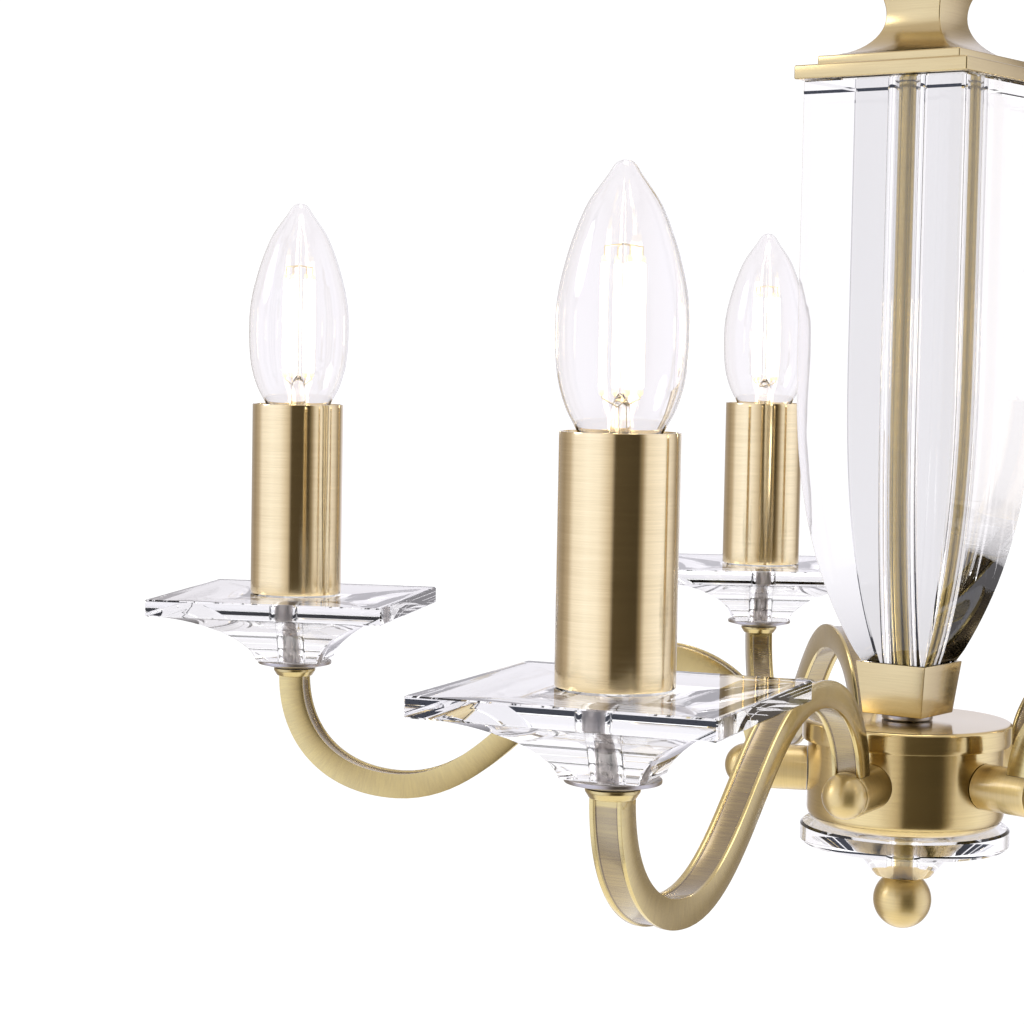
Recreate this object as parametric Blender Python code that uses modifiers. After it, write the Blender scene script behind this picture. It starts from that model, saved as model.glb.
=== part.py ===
"""Five-arm hanging light: brass hub and arms, a cut glass column, square glass
dishes and candle lamps.  Metres, +Z up.  The origin is the point where a hook
bears on the inside of the hanging loop.  Arm 1 points along -Y."""
import math

import bmesh
import bpy
from mathutils import Matrix

# ---------------------------------------------------------------- clearances
GAP = 0.0003                 # between two pieces that touch
ROD_PLAY = 0.0003            # round the tie rod, in every hole it goes through

# ------------------------------------------------------------- whole fitting
ARM_COUNT = 5
FIRST_ARM_ANGLE = -90.0      # degrees
ARM_SWINGS = (0.0, -1.6, 1.4, 0.0, 0.0)     # degrees that each hand-set arm strays
LAMP_CIRCLE = 0.2163         # radius from the column to each candle

# ---------------------------------------------------------------- top pieces
LOOP_EYE = 0.0090            # radius of the opening
LOOP_WIRE = 0.0023           # radius of the ring's bar
LOOP_FOOT_RADIUS = 0.0045
LOOP_FOOT_HEIGHT = 0.0060
COLLAR_RADIUS = 0.0110
COLLAR_HEIGHT = 0.0090
GLAND_RADIUS = 0.0036
GLAND_NECK = 0.0024
GLAND_BORE = 0.0013
GLAND_LENGTH = 0.0050
GLAND_LEVEL = 0.45           # share of the collar's height

# -------------------------------------------------------------- glass column
COLUMN_TURN = -7.8           # degrees, the column's own turn on its rod
NECK_TOP = 0.0165            # half sides of the square neck
NECK_WAIST = 0.0099
NECK_INSET = 0.0056          # neck's foot inside the edge of its plate
NECK_HEIGHT = 0.0306
NECK_LIP = 0.0030            # height of the square edges above and below
COLUMN_HALF = 0.0293         # half side of the glass at its top
PLATE_HALF = COLUMN_HALF + 0.0023
PLATE_THICK = 0.0046
NECK_FOOT = PLATE_HALF - NECK_INSET
COLUMN_HEIGHT = 0.1922       # glass that shows between plate and cup
COLUMN_TAPER = 0.1040        # length of the part that narrows
TAPER_STRAIGHT = 0.26        # straight share of the narrowing, the rest is curved
ROD_RADIUS = 0.0034
ROD_BORE = ROD_RADIUS - 0.0010
TUBE_WALL = 0.0008
TUBE_PLAY = 0.00055          # round the tie rod, inside the tube
TUBE_RADIUS = ROD_RADIUS + TUBE_PLAY + TUBE_WALL
BORE_PLAY = 0.00225          # round the tube, inside the glass
COLUMN_BORE = TUBE_RADIUS + BORE_PLAY
CUP_TOP = 0.0131
CUP_BOTTOM = CUP_TOP - 0.0020
CUP_HEIGHT = 0.0175
CUP_WALL = 0.0010
CUP_SOCKET = 0.0040
WASHER_RADIUS = CUP_BOTTOM - 0.0026
WASHER_THICK = 0.0016

# ----------------------------------------------------------------------- hub
HUB_RADIUS = 0.0330
HUB_HEIGHT = 0.0333
HUB_WALL = 0.0015
HUB_EDGE = 0.0050            # radius of the rounded lower edge
COVER_WALL = 0.0017
COVER_LIP = 0.0070
COVER_TOP = 0.0015
BOSS_DEPTH = COVER_TOP + GAP + HUB_HEIGHT * 0.5     # boss axis below the top of the cover
BOSS_RADIUS = 0.0076
BOSS_LENGTH = 0.0210         # straight part, from the hub to the domed end
BOSS_ROOT = 0.85             # share of the hub's radius where the uncut barrel starts
DOME_RADIUS = BOSS_RADIUS - 0.0002
DISC_RADIUS = HUB_RADIUS + 0.0020           # lower glass
DISC_THICK = 0.0065
CONE_TOP = 0.0200
CONE_BOTTOM = 0.0095
CONE_HEIGHT = 0.0110
BALL_RADIUS = 0.0098
BALL_SEAT = 0.0055
BALL_THREAD = 0.0060
BLOCK_SIZE = (0.0200, 0.0100, 0.0080)
BLOCK_ASIDE = 0.0040         # from the tie rod

# ---------------------------------------------------------------------- arms
ARM_WIDTH = 0.0096
ARM_DEPTH = 0.0086
BAND_WIDTH = 0.0070          # recessed band on the curved faces
BAND_DEPTH = 0.0008
LEG_RADIUS = HUB_RADIUS + 0.0160            # where the arm lands on its boss
ARCH_REACH = 0.0375          # from the leg out to the top of the arch
ARCH_RADIUS = LEG_RADIUS + ARCH_REACH
ARCH_RISE = 0.0365           # above the boss axis
BEND_REACH = 0.0393          # from the candle in to the bottom of the bend
BEND_RADIUS = LAMP_CIRCLE - BEND_REACH
BEND_DROP = 0.0138           # below the boss axis
ARM_END_RISE = 0.0235
END_PULL = 0.59              # curve handles, as shares of the runs they shape
RISE_PULL = 0.42
ARCH_PULL = 0.55
LEG_PULL = 0.60
LEG_FOOT = 0.4               # share of the boss's radius where the uncut leg ends
END_HANDLE = 0.0050          # short handle past each end
ARM_COLLAR_TOP = 0.0074
ARM_COLLAR_FOOT = 0.0062
ARM_COLLAR_HEIGHT = 0.0024

# --------------------------------------------------------------- glass dishes
DISH_HALF = 0.0417
DISH_EDGE = 0.0058
DISH_HEIGHT = 0.0236
DISH_FOOT = 0.0112
DISH_CURVE = 1.6             # 1 is a straight slope, 2 a quarter ellipse
DISH_TURNS = (7.1, 2.1, -8.0, 4.0, -3.0)   # degrees, each loose on its seat
NIPPLE_RADIUS = 0.0048
NIPPLE_BORE = NIPPLE_RADIUS - 0.0016
NIPPLE_STAND = 0.0060        # nipple above the dish
SEAT_RADIUS = DISH_FOOT + 0.0018
SEAT_THICK = 0.0024

# --------------------------------------------------------------------- lamps
SLEEVE_RADIUS = 0.0160
SLEEVE_WALL = 0.0008
SLEEVE_HEIGHT = 0.0668
HOLDER_PLAY = 0.0022         # round the lampholder, inside the sleeve
HOLDER_RADIUS = SLEEVE_RADIUS - SLEEVE_WALL - HOLDER_PLAY
HOLDER_BELOW = 0.0095        # top of the lampholder below the sleeve's mouth
SOCKET_PLAY = 0.0006
CAP_RADIUS = 0.0069
CAP_FLANGE = CAP_RADIUS + 0.0011
CAP_LENGTH = 0.0220
CAP_TIP = ((1.0, 0.0040), (0.5, 0.0015), (0.36, 0.0))   # (share of the radius, height)
CAP_TOP = -0.0050            # below the sleeve's mouth
BULB_TIP = 0.0705            # above the sleeve's mouth
BULB_RADIUS = 0.0175
BULB_WALL = 0.0007
FILAMENT_LOW = 0.0110
FILAMENT_HIGH = 0.0440
FILAMENT_CIRCLE = 0.0052
FILAMENT_RADIUS = 0.0009
STEM_RADIUS = 0.0028
HUB_PLATE = 0.0010

# ------------------------------------------- heights, from the loop downwards
LOOP_RING = LOOP_EYE + LOOP_WIRE
LOOP_BOTTOM = -LOOP_EYE - LOOP_RING - LOOP_FOOT_HEIGHT
COLLAR_Z = LOOP_BOTTOM - GAP
NECK_Z = COLLAR_Z - COLLAR_HEIGHT - GAP
PLATE_Z = NECK_Z - NECK_HEIGHT - GAP
GLASS_Z = PLATE_Z - PLATE_THICK - GAP
CUP_Z = GLASS_Z - COLUMN_HEIGHT
WASHER_Z = CUP_Z - CUP_HEIGHT - GAP
COVER_Z = WASHER_Z - WASHER_THICK - GAP
BODY_Z = COVER_Z - COVER_TOP - GAP
DISC_Z = BODY_Z - HUB_HEIGHT - GAP
BALL_Z = DISC_Z - DISC_THICK - CONE_HEIGHT - GAP
BOSS_Z = COVER_Z - BOSS_DEPTH
ARM_END_Z = BOSS_Z + ARM_END_RISE
SEAT_Z = ARM_END_Z + ARM_COLLAR_HEIGHT + GAP
DISH_FOOT_Z = SEAT_Z + SEAT_THICK + GAP
DISH_Z = DISH_FOOT_Z + DISH_HEIGHT
SLEEVE_Z = DISH_Z + GAP
MOUTH_Z = SLEEVE_Z + SLEEVE_HEIGHT

FINE = 0.00001               # merge distance
BRASS = (0.58, 0.44, 0.19)
NICKEL = (0.62, 0.60, 0.58)
GLASS = (0.95, 0.95, 0.97)


# ------------------------------------------------------------------- helpers
def clear_scene():
    for item in list(bpy.data.objects):
        bpy.data.objects.remove(item, do_unlink=True)


def new_collection(name):
    group = bpy.data.collections.new(name)
    bpy.context.scene.collection.children.link(group)
    return group


clear_scene()
PARTS = new_collection("five_arm_chandelier")
CUTTERS = new_collection("cutters")


def finish(name, colour, roughness, metallic, transmission=0.0, glow=0.0):
    """A plain material for one piece."""
    material = bpy.data.materials.new(name)
    material.use_nodes = True
    shader = material.node_tree.nodes["Principled BSDF"]
    shader.inputs["Base Color"].default_value = (*colour, 1.0)
    shader.inputs["Roughness"].default_value = roughness
    shader.inputs["Metallic"].default_value = metallic
    shader.inputs["Transmission Weight"].default_value = transmission
    shader.inputs["Emission Color"].default_value = (*colour, 1.0)
    shader.inputs["Emission Strength"].default_value = glow
    material.diffuse_color = (*colour, 1.0)
    return material


def brass(name):
    return finish(name, BRASS, 0.32, 1.0)


def nickel(name):
    return finish(name, NICKEL, 0.25, 1.0)


def glass(name):
    return finish(name, GLASS, 0.02, 0.0, transmission=1.0)


def add_object(name, data, group=PARTS, material=None):
    item = bpy.data.objects.new(name, data)
    group.objects.link(item)
    if material is not None:
        data.materials.append(material)
    return item


def place(item, at=(0.0, 0.0, 0.0), turn=(0.0, 0.0, 0.0), parent=None):
    item.location = at
    item.rotation_euler = [math.radians(angle) for angle in turn]
    item.parent = parent
    return item


def turned(name, profile, steps=24, material=None, group=PARTS, closed=False, smooth=True):
    """A profile of (radius, height) points turned round Z.  The points run down
    the outer side.  A closed profile makes a ring, an open one starts and ends
    on the axis.  Four steps make a square piece from half diagonals."""
    mesh = bpy.data.meshes.new(name)
    shape = bmesh.new()
    points = [shape.verts.new((radius, 0.0, height)) for radius, height in profile]
    for first, second in zip(points, points[1:]):
        shape.edges.new((first, second))
    if closed:
        shape.edges.new((points[-1], points[0]))
    shape.to_mesh(mesh)
    shape.free()
    item = add_object(name, mesh, group, material)
    screw = item.modifiers.new("turn", "SCREW")
    screw.axis = "Z"
    screw.steps = steps
    screw.render_steps = steps
    screw.use_merge_vertices = True
    screw.merge_threshold = FINE
    screw.use_smooth_shade = smooth
    return item


def square_turned(name, profile, material=None, group=PARTS):
    """A square piece from (half side, height) points."""
    corners = [(half * math.sqrt(2.0), height) for half, height in profile]
    return turned(name, corners, 4, material, group, smooth=False)


def as_cutter(item):
    item.hide_render = True
    item.display_type = "WIRE"
    return item


def round_cutter(name, radius, low, high, steps=24):
    profile = [(0.0, high), (radius, high), (radius, low), (0.0, low)]
    return as_cutter(turned(name, profile, steps, group=CUTTERS))


def add_boolean(item, other, operation="DIFFERENCE"):
    change = item.modifiers.new("join" if operation == "UNION" else "cut", "BOOLEAN")
    change.operation = operation
    change.solver = "EXACT"
    change.object = other
    return item


def evaluated_mesh(item, name):
    """The mesh of an object with its modifiers, in the object's own frame."""
    graph = bpy.context.evaluated_depsgraph_get()
    mesh = bpy.data.meshes.new_from_object(item.evaluated_get(graph))
    mesh.name = name
    shape = bmesh.new()
    shape.from_mesh(mesh)
    bmesh.ops.remove_doubles(shape, verts=shape.verts, dist=FINE)
    shape.to_mesh(mesh)
    shape.free()
    return mesh


def smooth_round(mesh, angle=35.0):
    mesh.shade_smooth()
    mesh.set_sharp_from_angle(angle=math.radians(angle))
    return mesh


def pattern_copies(pattern, name, parents, make_material, turns=None):
    """One finished copy of a pattern piece for each parent."""
    mesh = evaluated_mesh(pattern, name)
    height = pattern.location.z
    for number, parent in enumerate(parents, 1):
        copy_name = f"{name}_{number}"
        item = add_object(copy_name, mesh.copy(), PARTS, None)
        item.data.name = copy_name
        item.data.materials.clear()
        item.data.materials.append(make_material(copy_name))
        turn = turns[number - 1] if turns else 0.0
        place(item, (0.0, 0.0, height), (0.0, 0.0, turn), parent)
    bpy.data.objects.remove(pattern, do_unlink=True)


def empty(name, at, turn):
    item = bpy.data.objects.new(name, None)
    CUTTERS.objects.link(item)
    return place(item, at, (0.0, 0.0, turn))


def arc(centre, radius, start, end, count):
    """Points on an arc in the profile plane, angles in degrees from +X."""
    points = []
    for step in range(count + 1):
        angle = math.radians(start + (end - start) * step / count)
        points.append((centre[0] + radius * math.cos(angle), centre[1] + radius * math.sin(angle)))
    return points


# ------------------------------------------------------- top of the fitting
def hanging_loop():
    bpy.ops.mesh.primitive_torus_add(
        major_radius=LOOP_RING, minor_radius=LOOP_WIRE, major_segments=24, minor_segments=8,
        location=(0.0, 0.0, -LOOP_EYE), rotation=(math.radians(90.0), 0.0, math.radians(20.0)))
    ring = bpy.context.active_object
    ring.name = "hanging_loop"
    ring.data.materials.append(brass("hanging_loop"))
    for group in list(ring.users_collection):
        group.objects.unlink(ring)
    PARTS.objects.link(ring)
    smooth_round(ring.data)
    foot_top = LOOP_BOTTOM + LOOP_FOOT_HEIGHT + LOOP_WIRE
    foot = turned("loop_foot", [(0.0, foot_top), (LOOP_FOOT_RADIUS * 0.6, foot_top),
                                (LOOP_FOOT_RADIUS, LOOP_BOTTOM + LOOP_FOOT_HEIGHT * 0.6),
                                (LOOP_FOOT_RADIUS, LOOP_BOTTOM), (0.0, LOOP_BOTTOM)], 20, group=CUTTERS)
    return add_boolean(ring, as_cutter(foot), "UNION")


def top_collar():
    hole = ROD_RADIUS + ROD_PLAY
    top = COLLAR_Z
    low = top - COLLAR_HEIGHT
    edge = COLLAR_HEIGHT * 0.25
    profile = [(hole, top), (COLLAR_RADIUS * 0.7, top), (COLLAR_RADIUS, top - edge),
               (COLLAR_RADIUS, low), (hole, low)]
    collar = turned("top_collar", profile, 28, brass("top_collar"), closed=True)
    drill = round_cutter("gland_drill", GLAND_NECK + GAP, 0.0, COLLAR_RADIUS * 2.0, 16)
    place(drill, (0.0, 0.0, low + COLLAR_HEIGHT * GLAND_LEVEL), (0.0, 90.0, 90.0))
    return add_boolean(collar, drill)


def cable_gland():
    shoulder = COLLAR_RADIUS + GAP
    tip = shoulder + GLAND_LENGTH
    inner = ROD_RADIUS + 2.0 * ROD_PLAY
    profile = [(GLAND_BORE, tip), (GLAND_RADIUS, tip), (GLAND_RADIUS, shoulder),
               (GLAND_NECK, shoulder), (GLAND_NECK, inner), (GLAND_BORE, inner)]
    gland = turned("cable_gland", profile, 16, finish("cable_gland", (0.04, 0.035, 0.03), 0.5, 0.0),
                   closed=True)
    height = COLLAR_Z - COLLAR_HEIGHT + COLLAR_HEIGHT * GLAND_LEVEL
    return place(gland, (0.0, 0.0, height), (0.0, 90.0, 90.0))


def rod_hole(name, low, high):
    return round_cutter(name, ROD_RADIUS + ROD_PLAY, low, high, 20)


def column_neck():
    """Square spool: a lip, a hollow curve in to the waist and out to the foot."""
    top = NECK_Z
    low = NECK_Z - NECK_HEIGHT
    waist = low + NECK_HEIGHT * 0.55
    profile = [(0.0, top), (NECK_TOP, top), (NECK_TOP, top - NECK_LIP)]
    upper = NECK_TOP - NECK_WAIST
    lower = NECK_FOOT - NECK_WAIST
    drop = top - NECK_LIP - waist
    rise = waist - low - NECK_LIP
    for step in range(1, 5):
        angle = math.radians(90.0 * step / 4)
        profile.append((NECK_TOP - upper * math.sin(angle), top - NECK_LIP - drop * (1 - math.cos(angle))))
    for step in range(1, 6):
        angle = math.radians(90.0 * step / 5)
        profile.append((NECK_WAIST + lower * (1 - math.cos(angle)), waist - rise * math.sin(angle)))
    profile += [(NECK_FOOT, low), (0.0, low)]
    neck = square_turned("column_neck", profile, brass("column_neck"))
    place(neck, turn=(0.0, 0.0, 45.0 + COLUMN_TURN))
    return add_boolean(neck, rod_hole("neck_hole", low - 0.01, top + 0.01))


def column_cap_plate():
    low = PLATE_Z - PLATE_THICK
    profile = [(0.0, PLATE_Z), (PLATE_HALF, PLATE_Z), (PLATE_HALF, low), (0.0, low)]
    plate = square_turned("column_cap_plate", profile, brass("column_cap_plate"))
    place(plate, turn=(0.0, 0.0, 45.0 + COLUMN_TURN))
    return add_boolean(plate, rod_hole("plate_hole", low - 0.01, PLATE_Z + 0.01))


def column_half(depth):
    """Half side of the glass at a depth below its top."""
    foot = CUP_TOP - CUP_WALL
    straight = COLUMN_HEIGHT - COLUMN_TAPER
    if depth <= straight:
        return COLUMN_HALF
    share = min((depth - straight) / COLUMN_TAPER, 1.0)
    curved = TAPER_STRAIGHT * share + (1.0 - TAPER_STRAIGHT) * share * share
    return COLUMN_HALF - (COLUMN_HALF - foot) * curved * share


def glass_column():
    low = CUP_Z - CUP_SOCKET + GAP
    profile = [(0.0, GLASS_Z), (COLUMN_HALF, GLASS_Z)]
    steps = 8
    for step in range(steps + 1):
        depth = COLUMN_HEIGHT - COLUMN_TAPER * (1.0 - step / steps)
        profile.append((column_half(depth), GLASS_Z - depth))
    foot = CUP_TOP - CUP_WALL - GAP
    profile[-1] = (foot, CUP_Z)
    profile += [(foot - (CUP_TOP - CUP_BOTTOM) * CUP_SOCKET / CUP_HEIGHT, low), (0.0, low)]
    column = square_turned("glass_column", profile, glass("glass_column"))
    place(column, turn=(0.0, 0.0, 45.0 + COLUMN_TURN))
    return add_boolean(column, round_cutter("column_bore", COLUMN_BORE, low - 0.01, GLASS_Z + 0.01, 24))


def ring(name, outer, inner, high, low, steps, material):
    profile = [(inner, high), (outer, high), (outer, low), (inner, low)]
    return turned(name, profile, steps, material, closed=True)


def column_cup():
    low = CUP_Z - CUP_HEIGHT
    floor = CUP_Z - CUP_SOCKET
    slope = (CUP_TOP - CUP_BOTTOM) / CUP_HEIGHT
    inside = CUP_TOP - CUP_WALL
    profile = [(0.0, floor), (inside - slope * CUP_SOCKET, floor), (inside, CUP_Z), (CUP_TOP, CUP_Z),
               (CUP_BOTTOM, low), (0.0, low)]
    cup = square_turned("column_cup", profile, brass("column_cup"))
    place(cup, turn=(0.0, 0.0, 45.0 + COLUMN_TURN))
    return add_boolean(cup, rod_hole("cup_hole", low - 0.01, CUP_Z + 0.01))


def centre_pieces():
    hole = ROD_RADIUS + ROD_PLAY
    tube_low = CUP_Z - CUP_SOCKET + GAP
    ring("centre_tube", TUBE_RADIUS, TUBE_RADIUS - TUBE_WALL, GLASS_Z, tube_low, 20,
         brass("centre_tube"))
    rod_low = BALL_Z - BALL_THREAD + GAP
    ring("tie_rod", ROD_RADIUS, ROD_BORE, LOOP_BOTTOM - GAP, rod_low, 16, nickel("tie_rod"))
    ring("column_washer", WASHER_RADIUS, hole, WASHER_Z, WASHER_Z - WASHER_THICK, 20,
         nickel("column_washer"))


# ----------------------------------------------------------------------- hub
def hub_cover():
    hole = ROD_RADIUS + ROD_PLAY
    outer = HUB_RADIUS + GAP + COVER_WALL
    inner = HUB_RADIUS + GAP
    edge = COVER_TOP * 0.5
    profile = [(hole, COVER_Z), (outer - edge, COVER_Z), (outer, COVER_Z - edge),
               (outer, COVER_Z - COVER_LIP), (inner, COVER_Z - COVER_LIP),
               (inner, COVER_Z - COVER_TOP), (hole, COVER_Z - COVER_TOP)]
    return turned("hub_cover", profile, 36, brass("hub_cover"), closed=True)


def hub_body():
    hole = ROD_RADIUS + ROD_PLAY
    low = BODY_Z - HUB_HEIGHT
    inside = HUB_RADIUS - HUB_WALL
    edge_centre = (HUB_RADIUS - HUB_EDGE, low + HUB_EDGE)
    profile = [(inside, BODY_Z)]
    profile += [(HUB_RADIUS, BODY_Z)]
    profile += arc(edge_centre, HUB_EDGE, 0.0, -90.0, 4)
    profile += [(hole, low), (hole, low + HUB_WALL)]
    profile += arc(edge_centre, HUB_EDGE - HUB_WALL, -90.0, 0.0, 2)
    return turned("hub_body", profile, 36, brass("hub_body"), closed=True)


def terminal_block():
    bpy.ops.mesh.primitive_cube_add(size=1.0)
    block = bpy.context.active_object
    block.name = "terminal_block"
    block.data.transform(Matrix.Diagonal((*BLOCK_SIZE, 1.0)))
    for group in list(block.users_collection):
        group.objects.unlink(block)
    PARTS.objects.link(block)
    block.data.materials.append(finish("terminal_block", (0.85, 0.84, 0.8), 0.5, 0.0))
    aside = ROD_RADIUS + BLOCK_ASIDE + BLOCK_SIZE[1] / 2
    height = BODY_Z - HUB_HEIGHT + HUB_WALL + GAP + BLOCK_SIZE[2] / 2
    return place(block, (0.0, aside, height))


def lower_glass():
    hole = ROD_RADIUS + ROD_PLAY
    rim_low = DISC_Z - DISC_THICK
    low = rim_low - CONE_HEIGHT
    edge = DISC_THICK * 0.12
    profile = [(hole, DISC_Z), (DISC_RADIUS - edge, DISC_Z), (DISC_RADIUS, DISC_Z - edge),
               (DISC_RADIUS, rim_low + edge), (DISC_RADIUS - edge, rim_low), (CONE_TOP, rim_low),
               ((CONE_TOP + CONE_BOTTOM) * 0.46, rim_low - CONE_HEIGHT * 0.55),
               (CONE_BOTTOM, low), (hole, low)]
    return turned("lower_glass", profile, 32, glass("lower_glass"), closed=True)


def finial_ball():
    hole = ROD_RADIUS + ROD_PLAY
    sink = math.sqrt(BALL_RADIUS ** 2 - BALL_SEAT ** 2)
    centre = (0.0, BALL_Z - sink)
    start = math.degrees(math.atan2(sink, BALL_SEAT))
    profile = [(0.0, BALL_Z - BALL_THREAD), (hole, BALL_Z - BALL_THREAD), (hole, BALL_Z)]
    curve = arc(centre, BALL_RADIUS, start, -90.0, 8)
    profile += curve[:-1] + [(0.0, centre[1] - BALL_RADIUS)]
    return turned("finial_ball", profile, 20, brass("finial_ball"))


# ---------------------------------------------------------------------- arms
def arm_section():
    """Closed outline across the arm: a bar with a shallow band on both curved
    faces, leaving a thin ridge along each edge."""
    side = ARM_WIDTH / 2
    face = ARM_DEPTH / 2
    band = BAND_WIDTH / 2
    floor = face - BAND_DEPTH
    slope = BAND_DEPTH / 2
    upper = [(side, face), (band, face), (band - slope, floor), (slope - band, floor), (-band, face), (-side, face)]
    outline = (upper + [(-x, -y) for x, y in upper])[::-1]
    curve = bpy.data.curves.new("arm_section", "CURVE")
    curve.dimensions = "2D"
    line = curve.splines.new("POLY")
    line.points.add(len(outline) - 1)
    for point, (x, y) in zip(line.points, outline):
        point.co = (x, y, 0.0, 1.0)
    line.use_cyclic_u = True
    return as_cutter(add_object("arm_section", curve, CUTTERS))


def arm_path():
    """Centre line from the candle end to the boss, in the XZ plane, as points
    of (radius, height, first handle, second handle)."""
    end_bend = BEND_REACH * END_PULL
    rise = (BEND_RADIUS - ARCH_RADIUS) * RISE_PULL
    leg_foot = BOSS_RADIUS * LEG_FOOT
    leg_pull = (ARCH_RISE - leg_foot) * LEG_PULL
    stops = [
        ((LAMP_CIRCLE, ARM_END_RISE), (0.0, END_HANDLE), (0.0, -end_bend)),
        ((BEND_RADIUS, -BEND_DROP), (end_bend, 0.0), (-rise, 0.0)),
        ((ARCH_RADIUS, ARCH_RISE), (rise, 0.0), (-ARCH_REACH * ARCH_PULL, 0.0)),
        ((LEG_RADIUS, leg_foot), (0.0, leg_pull), (0.0, -END_HANDLE)),
    ]
    curve = bpy.data.curves.new("arm_path", "CURVE")
    curve.dimensions = "3D"
    curve.twist_mode = "MINIMUM"
    curve.resolution_u = 7
    line = curve.splines.new("BEZIER")
    line.bezier_points.add(len(stops) - 1)
    for point, (stop, left, right) in zip(line.bezier_points, stops):
        point.handle_left_type = "FREE"
        point.handle_right_type = "FREE"
        point.co = (stop[0], 0.0, BOSS_Z + stop[1])
        point.handle_left = (stop[0] + left[0], 0.0, BOSS_Z + stop[1] + left[1])
        point.handle_right = (stop[0] + right[0], 0.0, BOSS_Z + stop[1] + right[1])
    return curve


def arm_pattern():
    curve = arm_path()
    curve.bevel_mode = "OBJECT"
    curve.bevel_object = arm_section()
    curve.use_fill_caps = True
    swept = add_object("arm_sweep", curve, CUTTERS)
    bar = add_object("arm_bar", evaluated_mesh(swept, "arm_bar"), CUTTERS)
    bpy.data.objects.remove(swept, do_unlink=True)
    saddle = round_cutter("arm_saddle", BOSS_RADIUS + GAP, HUB_RADIUS * 0.5, LEG_RADIUS * 1.6, 24)
    place(saddle, (0.0, 0.0, BOSS_Z), (0.0, 90.0, 0.0))
    add_boolean(bar, saddle)
    top = ARM_END_Z + ARM_COLLAR_HEIGHT
    collar = turned("arm_collar", [(0.0, top), (ARM_COLLAR_TOP, top),
                                   (ARM_COLLAR_TOP, top - ARM_COLLAR_HEIGHT * 0.3),
                                   (ARM_COLLAR_FOOT, ARM_END_Z - GAP), (0.0, ARM_END_Z - GAP)], 14,
                    group=CUTTERS)
    place(as_cutter(collar), (LAMP_CIRCLE, 0.0, 0.0))
    return add_boolean(bar, collar, "UNION")


def boss_pattern():
    """Turned round a level axis that points outwards: domed end, a fine line,
    and a straight barrel cut to sit on the round hub."""
    joint = HUB_RADIUS + BOSS_LENGTH
    line = GAP
    profile = arc((0.0, joint), DOME_RADIUS, 90.0, 0.0, 5)
    profile[0] = (0.0, joint + DOME_RADIUS)
    profile += [(DOME_RADIUS - line, joint - line), (BOSS_RADIUS, joint - 3.0 * line),
                (BOSS_RADIUS, HUB_RADIUS * BOSS_ROOT), (0.0, HUB_RADIUS * BOSS_ROOT)]
    barrel = turned("boss_barrel", profile, 16, group=CUTTERS)
    place(barrel, (0.0, 0.0, BOSS_Z), (0.0, 90.0, 0.0))
    low = BODY_Z - HUB_HEIGHT
    hub = round_cutter("hub_saddle", HUB_RADIUS + GAP, low, BODY_Z, 56)
    return add_boolean(barrel, hub)


def on_each_arm(pattern, name, stations):
    """Copies of a piece that was made at angle 0, turned to every arm."""
    mesh = evaluated_mesh(pattern, name)
    mesh.transform(pattern.matrix_world)
    smooth_round(mesh)
    for number, station in enumerate(stations, 1):
        copy_name = f"{name}_{number}"
        item = add_object(copy_name, mesh.copy())
        item.data.materials.clear()
        item.data.materials.append(brass(copy_name))
        place(item, parent=station)
    bpy.data.objects.remove(pattern, do_unlink=True)


# -------------------------------------------------------------- lamp stations
def dish_seat_pattern():
    top = DISH_Z + NIPPLE_STAND
    dished = SEAT_THICK * 0.45
    profile = [(NIPPLE_BORE, top), (NIPPLE_RADIUS, top), (NIPPLE_RADIUS, SEAT_Z + SEAT_THICK),
               (SEAT_RADIUS, SEAT_Z + SEAT_THICK), (SEAT_RADIUS, SEAT_Z + SEAT_THICK - dished),
               (ARM_COLLAR_TOP, SEAT_Z), (NIPPLE_BORE, SEAT_Z)]
    return turned("seat_pattern", profile, 16, group=CUTTERS, closed=True)


def glass_dish_pattern():
    """Square slab whose underside curves in to a small foot."""
    profile = [(0.0, DISH_Z), (DISH_HALF, DISH_Z), (DISH_HALF, DISH_Z - DISH_EDGE)]
    run = DISH_HALF - DISH_FOOT
    fall = DISH_HEIGHT - DISH_EDGE
    steps = 7
    for step in range(1, steps):
        angle = math.radians(90.0 * step / steps)
        across = math.sin(angle) ** (2.0 / DISH_CURVE)
        down = math.cos(angle) ** (2.0 / DISH_CURVE)
        profile.append((DISH_HALF - run * across, DISH_FOOT_Z + fall * down))
    profile += [(DISH_FOOT, DISH_FOOT_Z), (0.0, DISH_FOOT_Z)]
    dish = square_turned("dish_pattern", profile, group=CUTTERS)
    bore = round_cutter("dish_bore", NIPPLE_RADIUS + GAP, DISH_FOOT_Z - 0.01, DISH_Z + 0.01, 20)
    return add_boolean(dish, bore)


def lampholder_pattern():
    low = DISH_Z + GAP
    top = MOUTH_Z - HOLDER_BELOW
    floor = MOUTH_Z + CAP_TOP - CAP_LENGTH - GAP
    socket = CAP_RADIUS + SOCKET_PLAY
    nut = NIPPLE_RADIUS + GAP
    nut_top = DISH_Z + NIPPLE_STAND + GAP
    profile = [(0.0, floor), (socket, floor), (socket, top), (HOLDER_RADIUS, top),
               (HOLDER_RADIUS, low), (nut, low), (nut, nut_top), (0.0, nut_top)]
    return turned("holder_pattern", profile, 16, group=CUTTERS)


def sleeve_pattern():
    inner = SLEEVE_RADIUS - SLEEVE_WALL
    profile = [(inner, MOUTH_Z), (SLEEVE_RADIUS, MOUTH_Z), (SLEEVE_RADIUS, SLEEVE_Z), (inner, SLEEVE_Z)]
    return turned("sleeve_pattern", profile, 24, group=CUTTERS, closed=True)


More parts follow.
